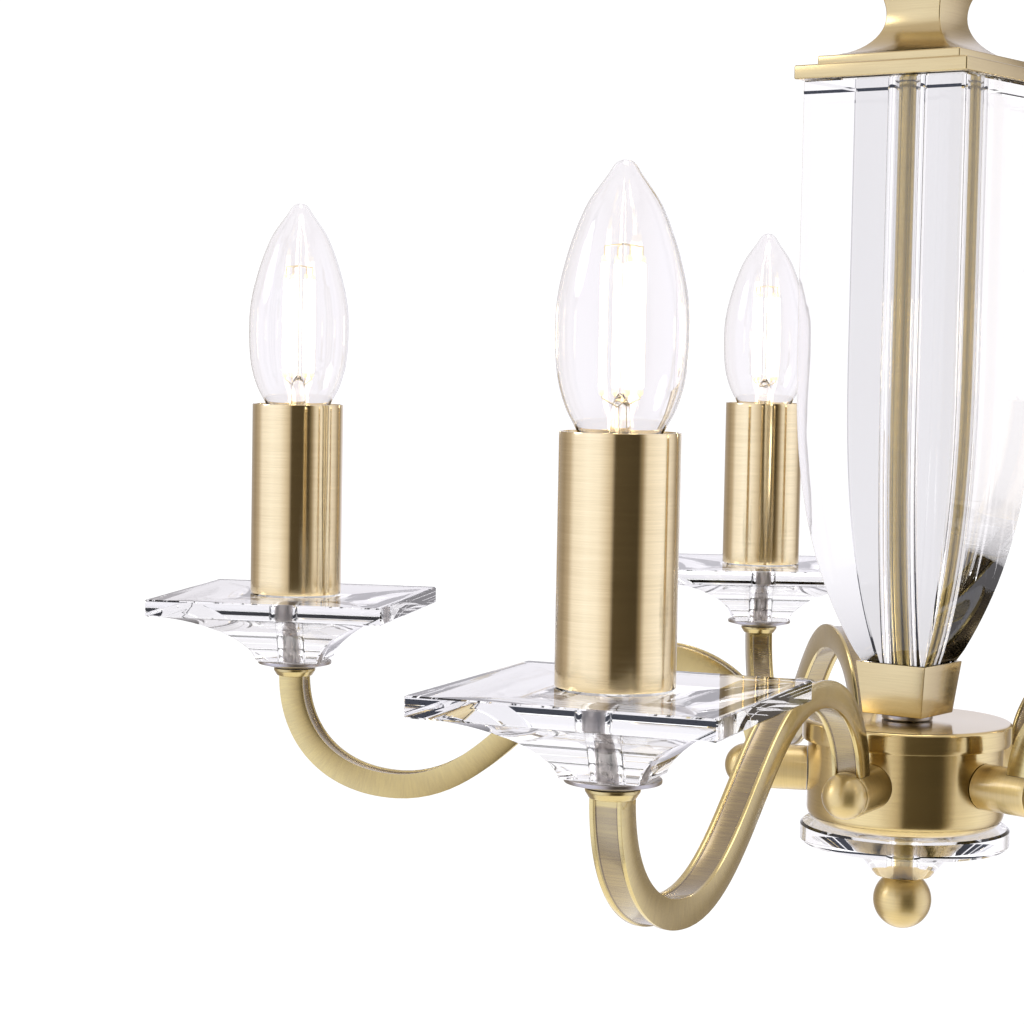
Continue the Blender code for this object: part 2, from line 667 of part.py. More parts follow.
def lamp_cap_pattern():
    top = MOUTH_Z + CAP_TOP
    low = top - CAP_LENGTH
    flange = HOLDER_BELOW + CAP_TOP - GAP
    profile = [(0.0, top), (CAP_FLANGE, top), (CAP_FLANGE, top - flange * 0.8), (CAP_RADIUS, top - flange),
               *((CAP_RADIUS * share, low + height) for share, height in CAP_TIP), (0.0, low)]
    return turned("cap_pattern", profile, 14, group=CUTTERS)


def bulb_outline():
    """Outer side of the candle lamp, heights above the sleeve's mouth."""
    shares = [(0.0, 1.0), (0.257, 0.943), (0.531, 0.851), (0.720, 0.738), (0.869, 0.624), (0.971, 0.511),
              (1.0, 0.383), (0.977, 0.241), (0.886, 0.135), (0.720, 0.035)]
    side = [(BULB_RADIUS * across, BULB_TIP * up) for across, up in shares]
    return side + [(CAP_FLANGE, CAP_TOP + GAP)]


def lamp_bulb_pattern():
    outer = [(radius, MOUTH_Z + height) for radius, height in bulb_outline()]
    inner = [(max(radius - BULB_WALL, 0.0), height - (BULB_WALL if radius == 0.0 else 0.0))
             for radius, height in outer[::2]]
    inner[-1] = (outer[-1][0] - BULB_WALL, outer[-1][1])
    return turned("bulb_pattern", outer + inner[::-1], 14, group=CUTTERS)


def lamp_filaments_pattern():
    """Glass stem with a wire star that holds four upright filaments."""
    foot = MOUTH_Z + CAP_TOP + GAP
    low = MOUTH_Z + FILAMENT_LOW
    high = MOUTH_Z + FILAMENT_HIGH
    disc = FILAMENT_CIRCLE + FILAMENT_RADIUS
    stem_top = low + HUB_PLATE
    profile = [(0.0, stem_top), (disc, stem_top), (disc, low), (STEM_RADIUS, low),
               (STEM_RADIUS, foot), (0.0, foot)]
    stem = turned("filament_pattern", profile, 8, group=CUTTERS)
    for number in range(4):
        angle = math.radians(45.0 + 90.0 * number)
        rod = round_cutter(f"filament_rod_{number}", FILAMENT_RADIUS, low + HUB_PLATE / 2, high, 5)
        place(rod, (FILAMENT_CIRCLE * math.cos(angle), FILAMENT_CIRCLE * math.sin(angle), 0.0))
        add_boolean(stem, rod, "UNION")
    return stem


def glow(name):
    return finish(name, (1.0, 0.86, 0.55), 0.4, 0.0, glow=4.0)


def bulb_glass(name):
    return finish(name, (0.98, 0.96, 0.97), 0.0, 0.0, transmission=1.0)


def holder_plastic(name):
    return finish(name, (0.88, 0.87, 0.84), 0.5, 0.0)


# ------------------------------------------------------------------ assembly
def build():
    hanging_loop()
    top_collar()
    cable_gland()
    column_neck()
    column_cap_plate()
    glass_column()
    column_cup()
    centre_pieces()
    hub_cover()
    hub_body()
    terminal_block()
    lower_glass()
    finial_ball()

    step = 360.0 / ARM_COUNT
    angles = [FIRST_ARM_ANGLE - step * number + swing for number, swing in enumerate(ARM_SWINGS)]
    arms = [empty(f"arm_angle_{n}", (0.0, 0.0, 0.0), angle) for n, angle in enumerate(angles, 1)]
    lamps = []
    for number, angle in enumerate(angles, 1):
        way = math.radians(angle)
        centre = (LAMP_CIRCLE * math.cos(way), LAMP_CIRCLE * math.sin(way), 0.0)
        lamps.append(empty(f"lamp_axis_{number}", centre, angle))
    bpy.context.view_layer.update()

    on_each_arm(arm_pattern(), "arm", arms)
    on_each_arm(boss_pattern(), "arm_boss", arms)
    dish_turns = [45.0 + turn for turn in DISH_TURNS]
    pattern_copies(dish_seat_pattern(), "dish_seat", lamps, nickel)
    pattern_copies(glass_dish_pattern(), "glass_dish", lamps, glass, dish_turns)
    pattern_copies(lampholder_pattern(), "lampholder", lamps, holder_plastic)
    pattern_copies(sleeve_pattern(), "candle_sleeve", lamps, brass)
    pattern_copies(lamp_cap_pattern(), "lamp_cap", lamps, nickel)
    pattern_copies(lamp_bulb_pattern(), "lamp_bulb", lamps, bulb_glass)
    pattern_copies(lamp_filaments_pattern(), "lamp_filaments", lamps, glow)


build()
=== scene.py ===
# %% [markdown]
# A hanging light with five brass arms round a cut glass column.
# Brass pieces are turned, cast or bent and then brushed and darkened, the dishes and the column are clear
# cut crystal, and the candle lamps are lit. The solid model gives every place and size. This lesson makes the
# fine surfaces round it, one piece at a time, and then the finishes, the studio and the camera.

# %% Load the solid model
import math

import bmesh
import bpy
from mathutils import Matrix, Vector
from mathutils.geometry import interpolate_bezier


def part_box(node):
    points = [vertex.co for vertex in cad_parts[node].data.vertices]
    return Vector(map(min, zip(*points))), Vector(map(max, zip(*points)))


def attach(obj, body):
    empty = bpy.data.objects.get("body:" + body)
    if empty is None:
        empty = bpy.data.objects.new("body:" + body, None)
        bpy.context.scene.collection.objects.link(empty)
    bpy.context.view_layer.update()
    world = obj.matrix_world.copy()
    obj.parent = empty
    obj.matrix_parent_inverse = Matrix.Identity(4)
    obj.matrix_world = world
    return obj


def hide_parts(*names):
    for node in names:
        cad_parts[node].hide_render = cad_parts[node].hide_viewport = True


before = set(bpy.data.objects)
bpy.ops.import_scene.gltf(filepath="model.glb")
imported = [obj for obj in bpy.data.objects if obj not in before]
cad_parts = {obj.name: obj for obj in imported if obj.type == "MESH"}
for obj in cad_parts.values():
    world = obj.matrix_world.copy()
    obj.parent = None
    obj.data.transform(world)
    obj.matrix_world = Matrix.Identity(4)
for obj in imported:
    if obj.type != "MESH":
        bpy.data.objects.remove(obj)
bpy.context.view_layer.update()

# %% [markdown]
# Every length below is in metres, so a millimetre gets a short name. The boxes round the solid nodes give the
# driving places: the axis of each candle, the level of each joint between pieces, and the radius of the hub.
# They could be typed in again, but then a change of the model would leave the looks behind.

# %% Places read from the model
MM = 0.001
GAP = 0.3 * MM
ARMS = (1, 2, 3, 4, 5)


def top(node):
    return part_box(node)[1].z


def foot(node):
    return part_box(node)[0].z


def half_width(node):
    low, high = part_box(node)
    return (high.x - low.x) / 2


def centre(node):
    low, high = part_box(node)
    return (low + high) / 2


MOUTH = top("candle_sleeve_1")
SLEEVE_FOOT = foot("candle_sleeve_1")
DISH_TOP = top("glass_dish_1")
DISH_FOOT = foot("glass_dish_1")
SEAT_FOOT = foot("dish_seat_1")
BOSS_LEVEL = centre("arm_boss_1").z
HUB_RADIUS = half_width("hub_body")
BOSS_RADIUS = (top("arm_boss_1") - foot("arm_boss_1")) / 2
LAMP_AXES = {k: centre(f"candle_sleeve_{k}").xy for k in ARMS}
ARM_ANGLES = {k: math.atan2(LAMP_AXES[k].y, LAMP_AXES[k].x) for k in ARMS}
LAMP_CIRCLE = LAMP_AXES[1].length
print("candle circle:", round(LAMP_CIRCLE / MM, 1), "mm, arm angles:",
      [round(math.degrees(ARM_ANGLES[k]), 1) for k in ARMS])

# %% [markdown]
# Finishes are small node graphs. Writing each node and link by hand hides the sum it works out, so one class
# wraps a socket and lets plain Python signs add Math nodes. A second class holds a material's graph and makes
# every other kind of node from one method.

# %% Shader sums as expressions


class Wire:
    """A number flowing through a shader, with the arithmetic signs of Python."""

    def __init__(self, graph, socket):
        self.graph = graph
        self.socket = socket

    def math(self, operation, first, second=0.0):
        return self.graph.node("ShaderNodeMath", {"operation": operation}, {0: first, 1: second})

    def __add__(self, other):
        return self.math("ADD", self, other)

    def __radd__(self, other):
        return self.math("ADD", other, self)

    def __sub__(self, other):
        return self.math("SUBTRACT", self, other)

    def __rsub__(self, other):
        return self.math("SUBTRACT", other, self)

    def __mul__(self, other):
        return self.math("MULTIPLY", self, other)

    def __rmul__(self, other):
        return self.math("MULTIPLY", other, self)

    def __truediv__(self, other):
        return self.math("DIVIDE", self, other)

    def clamp(self, low=0.0, high=1.0):
        return self.math("MINIMUM", self.math("MAXIMUM", self, low), high)


class Graph:
    """The node tree of a material or a world."""

    def __init__(self, tree):
        self.tree = tree

    def node(self, kind, settings=None, sockets=None, out=0):
        made = self.tree.nodes.new(kind)
        for key, value in (settings or {}).items():
            if key == "stops":
                self.set_stops(made.color_ramp, value)
            else:
                setattr(made, key, value)
        for key, value in (sockets or {}).items():
            socket = made.inputs[key]
            if isinstance(value, Wire):
                self.tree.links.new(value.socket, socket)
            else:
                socket.default_value = value
        return Wire(self, made.outputs[out])

    def set_stops(self, ramp, stops):
        while len(ramp.elements) < len(stops):
            ramp.elements.new(1.0)
        for element, (position, colour) in zip(ramp.elements, stops):
            element.position = position
            element.color = (*colour, 1.0)

    def attribute(self, name, out=2):
        return self.node("ShaderNodeAttribute", {"attribute_name": name}, out=out)

    def noise(self, vector, detail=2.0, scale=1.0, rough=0.5):
        return self.node("ShaderNodeTexNoise", {"noise_dimensions": "3D"},
                         {"Vector": vector, "Scale": scale, "Detail": detail, "Roughness": rough})

    def stretch(self, vector, amounts):
        return self.node("ShaderNodeVectorMath", {"operation": "MULTIPLY"}, {0: vector, 1: amounts})

    def blend(self, share, first, second):
        return self.node("ShaderNodeMix", {"data_type": "RGBA"},
                         {"Factor": share, "A": first, "B": second}, out=2)

    def bump(self, height, strength, distance):
        return self.node("ShaderNodeBump", {}, {"Strength": strength, "Distance": distance, "Height": height})


def rgb(red, green, blue):
    return (red, green, blue, 1.0)


def new_finish(name, **constants):
    """A Principled material, its graph and its shader, with the constant sockets set."""
    material = bpy.data.materials.new(name)
    material.use_nodes = True
    shader = material.node_tree.nodes["Principled BSDF"]
    for key, value in constants.items():
        shader.inputs[key.replace("_", " ")].default_value = value
    return material, Graph(material.node_tree), shader


def feed(graph, shader, socket, wire):
    graph.tree.links.new(wire.socket, shader.inputs[socket])


print("shader helpers ready")

# %% [markdown]
# Antique brass is brass that is darkened in a bath, brushed back and lacquered. The brush leaves fine lines
# that run round a turned piece and across a bent one, and it takes the dark off every edge. Two values stored
# on each mesh say where that happens: grain is a place measured along and across the brush, and wear is above
# nought on outside edges and below it in hollows. An image could hold the lines, but this stays sharp close
# up. The brushing also stretches reflections along turned pieces, which is what the streak is for.

# %% Antique brass


def antique_brass(name, light, dark, contrast=1.0, roughness=0.16, line=2300.0, streak=0.7, bath=0.8):
    """Brushed brass, with line for how fine the brushing is and bath for how dark the hollows are."""
    material, graph, shader = new_finish(name, Metallic=1.0, Coat_Weight=0.8, Coat_Roughness=0.12,
                                         Anisotropic=streak, Anisotropic_Rotation=0.25)
    grain = graph.attribute("grain", out=1)
    place = graph.node("ShaderNodeTexCoord", out=3)
    wear = graph.attribute("wear")
    lines = graph.noise(graph.stretch(grain, (55.0, 55.0, line)), detail=3.0, rough=0.6)
    threads = graph.noise(graph.stretch(grain, (25.0, 25.0, line / 5)), detail=2.0)
    clouds = graph.noise(graph.stretch(place, (38.0, 38.0, 30.0)), detail=3.0)
    worn = wear.clamp()
    hollow = (0.0 - wear).clamp()
    marks = (lines - 0.5) * 0.75 + (threads - 0.5) * 0.4 + (clouds - 0.5) * 0.45
    tone = (0.8 + marks * contrast + worn * 0.3 - hollow * bath).clamp()
    feed(graph, shader, "Base Color", graph.blend(tone, rgb(*dark), rgb(*light)))
    rough = roughness + (lines - 0.5) * 0.10 + hollow * 0.15 - worn * 0.04
    feed(graph, shader, "Roughness", rough.clamp(0.06, 0.7))
    feed(graph, shader, "Normal", graph.bump(lines * 0.7 + threads * 0.5, 0.2, 0.00004))
    return material


BRASS_LIGHT = (0.66, 0.495, 0.200)
BRASS_DARK = (0.30, 0.205, 0.070)
sleeve_brass = antique_brass("sleeve_brass", (0.75, 0.59, 0.32), (0.50, 0.37, 0.17), 0.9, 0.13, 2800.0)
turned_brass = antique_brass("turned_brass", BRASS_LIGHT, BRASS_DARK, 0.6, 0.19)
satin_brass = antique_brass("satin_brass", BRASS_LIGHT, BRASS_DARK, 0.6, 0.42, streak=0.6)
# Tube and rod brass: the same brass darkened, painted shade against the light that comes through the glass.
inner_brass_painted_shade = antique_brass("inner_brass_painted_shade", (0.53, 0.40, 0.125), (0.24, 0.165, 0.045), 0.7, 0.16)
arm_brass = antique_brass("arm_brass", (0.55, 0.425, 0.165), (0.19, 0.14, 0.095), 0.75, 0.23, 1500.0,
                          streak=0.0, bath=1.6)
square_brass = antique_brass("square_brass", (0.55, 0.42, 0.190), BRASS_DARK, 0.6, 0.25, 2000.0, streak=0.0)
print("brass finishes:", len(bpy.data.materials))

# %% [markdown]
# The other finishes are plainer. Crystal bends light more than window glass, and it's the room round it that
# gives it its white panes and dark lines. The column is the thickest block, so its crystal is a shade greyer.
# The lamp glass is thin. Nickel is dull, and the glowing sticks are a pale phosphor that is far brighter than
# the room. One even tint would do for the glass, but a faint drift in it keeps thick pieces from looking flat.

# %% Crystal, lamp glass, nickel, plastics and the glow


def clear_glass(name, tint, ior, ripple, evenness=0.4):
    """Clear glass that drifts between its tint and a paler one, which are the same at an evenness of 1."""
    material, graph, shader = new_finish(name, Metallic=0.0, IOR=ior, Transmission_Weight=1.0)
    place = graph.node("ShaderNodeTexCoord", out=3)
    cords = graph.noise(graph.stretch(place, (90.0, 90.0, 45.0)), detail=2.0)
    paler = tuple(1.0 - (1.0 - part) * evenness for part in tint)
    feed(graph, shader, "Base Color", graph.blend(cords, rgb(*tint), rgb(*paler)))
    feed(graph, shader, "Roughness", (cords - 0.62).clamp() * 0.05)
    feed(graph, shader, "Normal", graph.bump(cords, ripple, 0.0001))
    return material


def metal(name, light, dark, roughness):
    material, graph, shader = new_finish(name, Metallic=1.0)
    place = graph.node("ShaderNodeTexCoord", out=3)
    grain = graph.attribute("grain", out=1)
    wear = graph.attribute("wear")
    lines = graph.noise(graph.stretch(grain, (80.0, 80.0, 2500.0)), detail=2.0)
    clouds = graph.noise(graph.stretch(place, (120.0, 120.0, 120.0)), detail=3.0)
    tone = (0.2 + lines * 0.35 + clouds * 0.45 + wear * 0.4).clamp()
    feed(graph, shader, "Base Color", graph.blend(tone, rgb(*dark), rgb(*light)))
    feed(graph, shader, "Roughness", roughness + clouds * 0.14)
    feed(graph, shader, "Normal", graph.bump(lines, 0.15, 0.00004))
    return material


def plastic(name, light, dark, roughness):
    material, graph, shader = new_finish(name, Metallic=0.0, Specular_IOR_Level=0.45)
    place = graph.node("ShaderNodeTexCoord", out=3)
    speckle = graph.noise(graph.stretch(place, (900.0, 900.0, 900.0)), detail=3.0)
    clouds = graph.noise(graph.stretch(place, (60.0, 60.0, 60.0)))
    feed(graph, shader, "Base Color", graph.blend(clouds, rgb(*dark), rgb(*light)))
    feed(graph, shader, "Roughness", roughness + speckle * 0.12)
    feed(graph, shader, "Normal", graph.bump(speckle, 0.2, 0.00003))
    return material


def glowing(name, hot, warm, strength):
    material, graph, shader = new_finish(name, Metallic=0.0, Roughness=0.45, Emission_Strength=strength)
    place = graph.node("ShaderNodeTexCoord", out=3)
    beads = graph.noise(graph.stretch(place, (600.0, 600.0, 900.0)), detail=2.0)
    feed(graph, shader, "Base Color", graph.blend(beads, rgb(*warm), rgb(*hot)))
    feed(graph, shader, "Emission Color", graph.blend(beads, rgb(*warm), rgb(*hot)))
    material.cycles.emission_sampling = "NONE"
    return material


crystal = clear_glass("cut_crystal", (0.935, 0.925, 0.94), 1.53, 0.04)
column_crystal = clear_glass("column_crystal", (0.83, 0.82, 0.815), 1.53, 0.04, evenness=0.85)
lamp_glass = clear_glass("lamp_glass", (0.98, 0.965, 0.972), 1.46, 0.03)
stem_glass = clear_glass("stem_glass", (0.99, 0.965, 0.93), 1.50, 0.10)
nickel = metal("dull_nickel", (0.46, 0.42, 0.39), (0.25, 0.22, 0.20), 0.22)
wire_metal = metal("wire_metal", (0.80, 0.66, 0.42), (0.45, 0.34, 0.20), 0.25)
white_plastic = plastic("white_plastic", (0.86, 0.85, 0.82), (0.78, 0.77, 0.74), 0.35)
black_plastic = plastic("black_plastic", (0.05, 0.047, 0.043), (0.03, 0.028, 0.025), 0.38)
phosphor = glowing("lit_phosphor", (1.0, 0.90, 0.68), (1.0, 0.80, 0.46), 9.0)
phosphor_tip = glowing("phosphor_tip", (1.0, 0.88, 0.50), (1.0, 0.76, 0.30), 1.3)
print("finishes:", len(bpy.data.materials))

# %% [markdown]
# Most pieces are turned: a profile of radius and height runs down the outer side, and spin carries it round
# the axis. The square pieces are spun too, in four steps, from half diagonals. Rows of points are added along
# straight runs, so that wear stays near the edges it belongs to. Glass has no wear and a ball has no straight
# runs, so their rows are a metre apart, which adds none. Corners then get a small bevel, because no real edge
# is knife sharp, and it's the bevel that catches the light.

# %% Turned and square shapes
ROW = 2.0 * MM
NO_ROWS = 1.0
WELD = 0.002 * MM


def with_rows(profile, row=ROW):
    """The profile with points added along its long straight runs."""
    rows = [profile[0]]
    for (r1, z1), (r2, z2) in zip(profile, profile[1:]):
        count = max(1, math.ceil(math.hypot(r2 - r1, z2 - z1) / row))
        rows += [(r1 + (r2 - r1) * n / count, z1 + (z2 - z1) * n / count) for n in range(1, count + 1)]
    return rows


def arc(middle, radius, start, end, count):
    """Points on an arc in the profile plane, angles in degrees from outwards."""
    angles = [math.radians(start + (end - start) * n / count) for n in range(count + 1)]
    return [(middle[0] + radius * math.cos(a), middle[1] + radius * math.sin(a)) for a in angles]


def spun(profile, steps=96, ring=False, row=ROW):
    """A profile carried all the way round Z. A ring's profile closes on itself."""
    line = with_rows(profile + profile[:1] if ring else profile, row)
    shape = bmesh.new()
    points = [shape.verts.new((radius, 0.0, height)) for radius, height in (line[:-1] if ring else line)]
    pairs = list(zip(points, points[1:] + (points[:1] if ring else [])))
    edges = [shape.edges.new(pair) for pair in pairs]
    bmesh.ops.spin(shape, geom=points + edges, cent=(0, 0, 0), axis=(0, 0, 1), dvec=(0, 0, 0),
                   angle=math.tau, steps=steps, use_merge=True, use_duplicate=False)
    bmesh.ops.remove_doubles(shape, verts=shape.verts, dist=WELD)
    bmesh.ops.recalc_face_normals(shape, faces=shape.faces)
    return shape


def square_spun(profile, ring=False, row=ROW):
    """A square piece from half sides, its sides facing X and Y."""
    shape = spun([(half * math.sqrt(2.0), height) for half, height in profile], 4, ring, row)
    eighth = Matrix.Rotation(math.radians(45), 3, "Z")
    bmesh.ops.rotate(shape, verts=shape.verts, cent=(0, 0, 0), matrix=eighth)
    return shape


def soften(shape, width, segments=3, angle=28.0, chosen=None):
    """A small round along every edge that is sharper than the angle."""
    edges = [e for e in shape.edges if len(e.link_faces) == 2
             and e.calc_face_angle() > math.radians(angle) and (chosen is None or chosen(e))]
    bmesh.ops.bevel(shape, geom=edges, offset=width, offset_type="OFFSET", affect="EDGES", segments=segments,
                    profile=0.5, material=-1, clamp_overlap=True)
    return shape


print("rows in a 10 mm run:", len(with_rows([(0.0, 0.0), (0.0, 10 * MM)])) - 1)

# %% [markdown]
# Each finished shape becomes an object in the same way. Its grain and wear are stored first, while it still
# stands on its own axis, and then the shape is moved to its place, because an object here stays at the
# origin. The piece rides on the body that its solid node belongs to, and the node it stands for is hidden.
# Attributes could be painted by hand, but here the angle at every edge gives the wear.

# %% Grain and wear


def round_grain(point):
    return (point.x, point.y, point.z + math.hypot(point.x, point.y))


def square_grain(point):
    return (point.x, point.y, point.z + max(abs(point.x), abs(point.y)))


def store_grain(shape, rule):
    layer = shape.verts.layers.float_vector.get("grain") or shape.verts.layers.float_vector.new("grain")
    for vert in shape.verts:
        vert[layer] = Vector(rule(vert.co))


def store_wear(shape, flat=7.0, full=34.0):
    """Above nought on outside edges, below nought in hollows."""
    layer = shape.verts.layers.float.get("wear") or shape.verts.layers.float.new("wear")
    for vert in shape.verts:
        bends = [math.degrees(e.calc_face_angle_signed(0.0))
                 for e in vert.link_edges if len(e.link_faces) == 2]
        bend = max(bends, key=abs, default=0.0)
        amount = max(0.0, min(1.0, (abs(bend) - flat) / full))
        vert[layer] = math.copysign(amount, bend)


print("grain and wear ready")

# %% From shape to piece


def make_object(name, shape, finish, smooth=32.0):
    mesh = bpy.data.meshes.new(name)
    shape.to_mesh(mesh)
    shape.free()
    mesh.shade_smooth()
    mesh.set_sharp_from_angle(angle=math.radians(smooth))
    mesh.materials.append(finish)
    item = bpy.data.objects.new(name, mesh)
    bpy.context.scene.collection.objects.link(item)
    return item


def add_piece(name, shape, finish, body, nodes=(), rule=round_grain, at=None, smooth=32.0):
    bmesh.ops.recalc_face_normals(shape, faces=shape.faces)
    if rule is not None:
        store_grain(shape, rule)
    store_wear(shape)
    if at is not None:
        bmesh.ops.transform(shape, matrix=at, verts=shape.verts)
    item = make_object(name, shape, finish, smooth)
    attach(item, body)
    if nodes:
        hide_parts(*nodes)
    print(f"{name}: {len(item.data.polygons)} faces")
    return item


print("pieces can be placed")

# %% [markdown]
# A hole through square stock can't be spun with it. Its rim could be bridged by hand, but a Boolean cut says
# plainly what a drill does. The cut mesh is read back at once, so no modifier stays on the piece.

# %% Drilling, joining and placing
DRILL_PAST = 10 * MM


def drilled(shape, radius, low, high, steps=64):
    """The shape with a round hole on its axis, from just under low to just over high."""
    start = high + DRILL_PAST
    end = low - DRILL_PAST
    core = spun([(0.0, start), (radius, start), (radius, end), (0.0, end)], steps, row=NO_ROWS)
    blank = make_object("blank", shape, crystal)
    drill = make_object("drill", core, crystal)
    cut = blank.modifiers.new("hole", "BOOLEAN")
    cut.solver = "EXACT"
    cut.object = drill
    graph = bpy.context.evaluated_depsgraph_get()
    result = bmesh.new()
    result.from_mesh(blank.evaluated_get(graph).to_mesh())
    bmesh.ops.remove_doubles(result, verts=result.verts, dist=WELD)
    for item in (blank, drill):
        mesh = item.data
        bpy.data.objects.remove(item, do_unlink=True)
        bpy.data.meshes.remove(mesh)
    return result


def joined(*shapes):
    """Several shapes as one mesh of separate shells."""
    whole = bmesh.new()
    for shape in shapes:
        mesh = bpy.data.meshes.new("part")
        shape.to_mesh(mesh)
        shape.free()
        whole.from_mesh(mesh)
        bpy.data.meshes.remove(mesh)
    return whole


def upright(angle, distance=0.0):
    """The place of a piece on an arm: turned to the arm's angle and moved out along it."""
    return Matrix.Rotation(angle, 4, "Z") @ Matrix.Translation((distance, 0.0, 0.0))


print("drill, join and place ready")

# %% [markdown]
# The top of the light hangs from a ring on a small foot, screwed to the tie rod that holds the whole column
# together. A torus could be a curve with a round bevel, but spin makes it as well: a small circle is carried
# round the ring's axis, and the ring is then stood upright.

# %% Hanging loop
LOOP_WIRE = 2.3 * MM
LOOP_EYE = 9.0 * MM
LOOP_TURN = math.radians(20)
LOOP_FOOT_HEIGHT = 6.0 * MM
LOOP_FOOT_RADIUS = 4.5 * MM
quarter = math.radians(90)
wire_place = Matrix.Translation((LOOP_EYE + LOOP_WIRE, 0, 0)) @ Matrix.Rotation(quarter, 4, "X")
loop_place = (Matrix.Translation((0, 0, -LOOP_EYE)) @ Matrix.Rotation(LOOP_TURN, 4, "Z")
              @ Matrix.Rotation(quarter, 4, "X"))
loop_ring = bmesh.new()
bmesh.ops.create_circle(loop_ring, segments=24, radius=LOOP_WIRE, matrix=wire_place)
bmesh.ops.spin(loop_ring, geom=loop_ring.verts[:] + loop_ring.edges[:], cent=(0, 0, 0), axis=(0, 0, 1),
               dvec=(0, 0, 0), angle=math.tau, steps=72, use_merge=True, use_duplicate=False)
bmesh.ops.remove_doubles(loop_ring, verts=loop_ring.verts, dist=WELD)
bmesh.ops.transform(loop_ring, verts=loop_ring.verts, matrix=loop_place)

loop_low = foot("hanging_loop")
loop_neck = loop_low + LOOP_FOOT_HEIGHT
loop_stub = spun([(0.0, loop_neck + 1.5 * MM), (LOOP_FOOT_RADIUS * 0.45, loop_neck + 1.2 * MM),
                  (LOOP_FOOT_RADIUS * 0.62, loop_neck),
                  (LOOP_FOOT_RADIUS, loop_low + LOOP_FOOT_HEIGHT * 0.6),
                  (LOOP_FOOT_RADIUS, loop_low), (0.0, loop_low)], 48, row=1.0 * MM)
soften(loop_stub, 0.25 * MM)
add_piece("loop_ring", joined(loop_ring, loop_stub), turned_brass, "frame", ["hanging_loop"])

# %% [markdown]
# The collar under the loop is turned brass with a rounded shoulder and a fine groove. Its flex comes in at the
# side, through a black moulded gland. Both are rings, spun from profiles that close on themselves, where a
# drilled cylinder would need a Boolean for a hole that is already in the profile.

# %% Collar
ROD_HOLE = 3.7 * MM
COLLAR_GROOVE = 0.35 * MM
collar_top = top("top_collar")
collar_low = foot("top_collar")
collar_radius = half_width("top_collar")
shoulder = collar_radius * 0.32
shoulder_start = collar_radius * 0.68
collar = spun([(ROD_HOLE, collar_top), (shoulder_start, collar_top),
               *arc((shoulder_start, collar_top - shoulder), shoulder, 90, 0, 8)[1:],
               (collar_radius, collar_low + 2.2 * MM), (collar_radius - COLLAR_GROOVE, collar_low + 1.9 * MM),
               (collar_radius, collar_low + 1.6 * MM), (collar_radius, collar_low), (ROD_HOLE, collar_low)],
              96, ring=True, row=1.0 * MM)
soften(collar, 0.2 * MM)
add_piece("collar_turned", collar, turned_brass, "frame", ["top_collar"])

# %% Gland
GLAND_BORE = 1.3 * MM
GLAND_STEM = 2.4 * MM
GLAND_HEAD = 5.0 * MM
gland_low, gland_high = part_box("cable_gland")
gland_radius = (gland_high.z - gland_low.z) / 2
gland_level = (gland_high.z + gland_low.z) / 2
flange = gland_high.y - GLAND_HEAD
nose = gland_radius - 0.6 * MM
gland = spun([(GLAND_BORE, gland_high.y), (nose, gland_high.y), (nose, flange + 1.8 * MM),
              (gland_radius, flange + 1.2 * MM), (gland_radius, flange), (GLAND_STEM, flange),
              (GLAND_STEM, gland_low.y), (GLAND_BORE, gland_low.y)], 48, ring=True, row=1.0 * MM)
soften(gland, 0.2 * MM)
add_piece("gland_moulded", gland, black_plastic, "frame", ["cable_gland"],
          at=Matrix.Translation((0, 0, gland_level)) @ Matrix.Rotation(-quarter, 4, "X"))

# %% [markdown]
# The neck is a square spool of cast brass: a lip, a hollow that sweeps in to the waist, and a foot that
# spreads onto a flat plate. It could be a cube that is scaled loop by loop, but a four-step spin of one
# profile keeps the curve in a single list. The sides are flat, so only real corners stay sharp.

# %% Neck
COLUMN_TURN = math.radians(-7.8)
column_place = Matrix.Rotation(COLUMN_TURN, 4, "Z")
neck_top = top("column_neck")
neck_low = foot("column_neck")
neck_height = neck_top - neck_low
LIP = 3.0 * MM
NECK_TOP = 16.5 * MM
NECK_WAIST = 9.9 * MM
NECK_FOOT = 26.0 * MM
waist = neck_low + neck_height * 0.55


def sweep_in(wide, near, far, count=14):
    """Quarter ellipse from a lip's half side in to the waist, as (half side, height)."""
    line = []
    for n in range(1, count + 1):
        angle = math.radians(90.0 * n / count)
        half = NECK_WAIST + (wide - NECK_WAIST) * (1 - math.sin(angle))
        line.append((half, near + (far - near) * (1 - math.cos(angle))))
    return line


upper_curve = sweep_in(NECK_TOP, neck_top - LIP, waist)
lower_curve = sweep_in(NECK_FOOT, neck_low + LIP, waist)[::-1]
neck = square_spun([(0.0, neck_top), (NECK_TOP, neck_top), (NECK_TOP, neck_top - LIP), *upper_curve,
                    *lower_curve[1:], (NECK_FOOT, neck_low + LIP), (NECK_FOOT, neck_low), (0.0, neck_low)],
                   row=4.0 * MM)
soften(neck, 0.45 * MM, 3)
neck = drilled(neck, ROD_HOLE, neck_low, neck_top)
add_piece("neck_cast", neck, square_brass, "frame", ["column_neck"],
          square_grain, column_place)

# %% Cap plate
plate_top = top("column_cap_plate")
plate_low = foot("column_cap_plate")
PLATE_HALF = 31.6 * MM
plate = square_spun([(0.0, plate_top), (PLATE_HALF, plate_top), (PLATE_HALF, plate_low), (0.0, plate_low)],
                    row=4.0 * MM)
soften(plate, 0.6 * MM, 4)
plate = drilled(plate, ROD_HOLE, plate_low, plate_top)
add_piece("cap_plate", plate, square_brass, "frame", ["column_cap_plate"],
          square_grain, column_place)

# %% [markdown]
# The column is one block of crystal, square at the top and narrowing in a long curve to the brass cup. A bore
# runs through it for a brass tube, and because light bends at every side, that tube is seen twice. The four
# long corners have a narrow polished chamfer. A cube with loop cuts would do, but the taper is one smooth sum,
# so a four-step spin of it keeps every side the same.

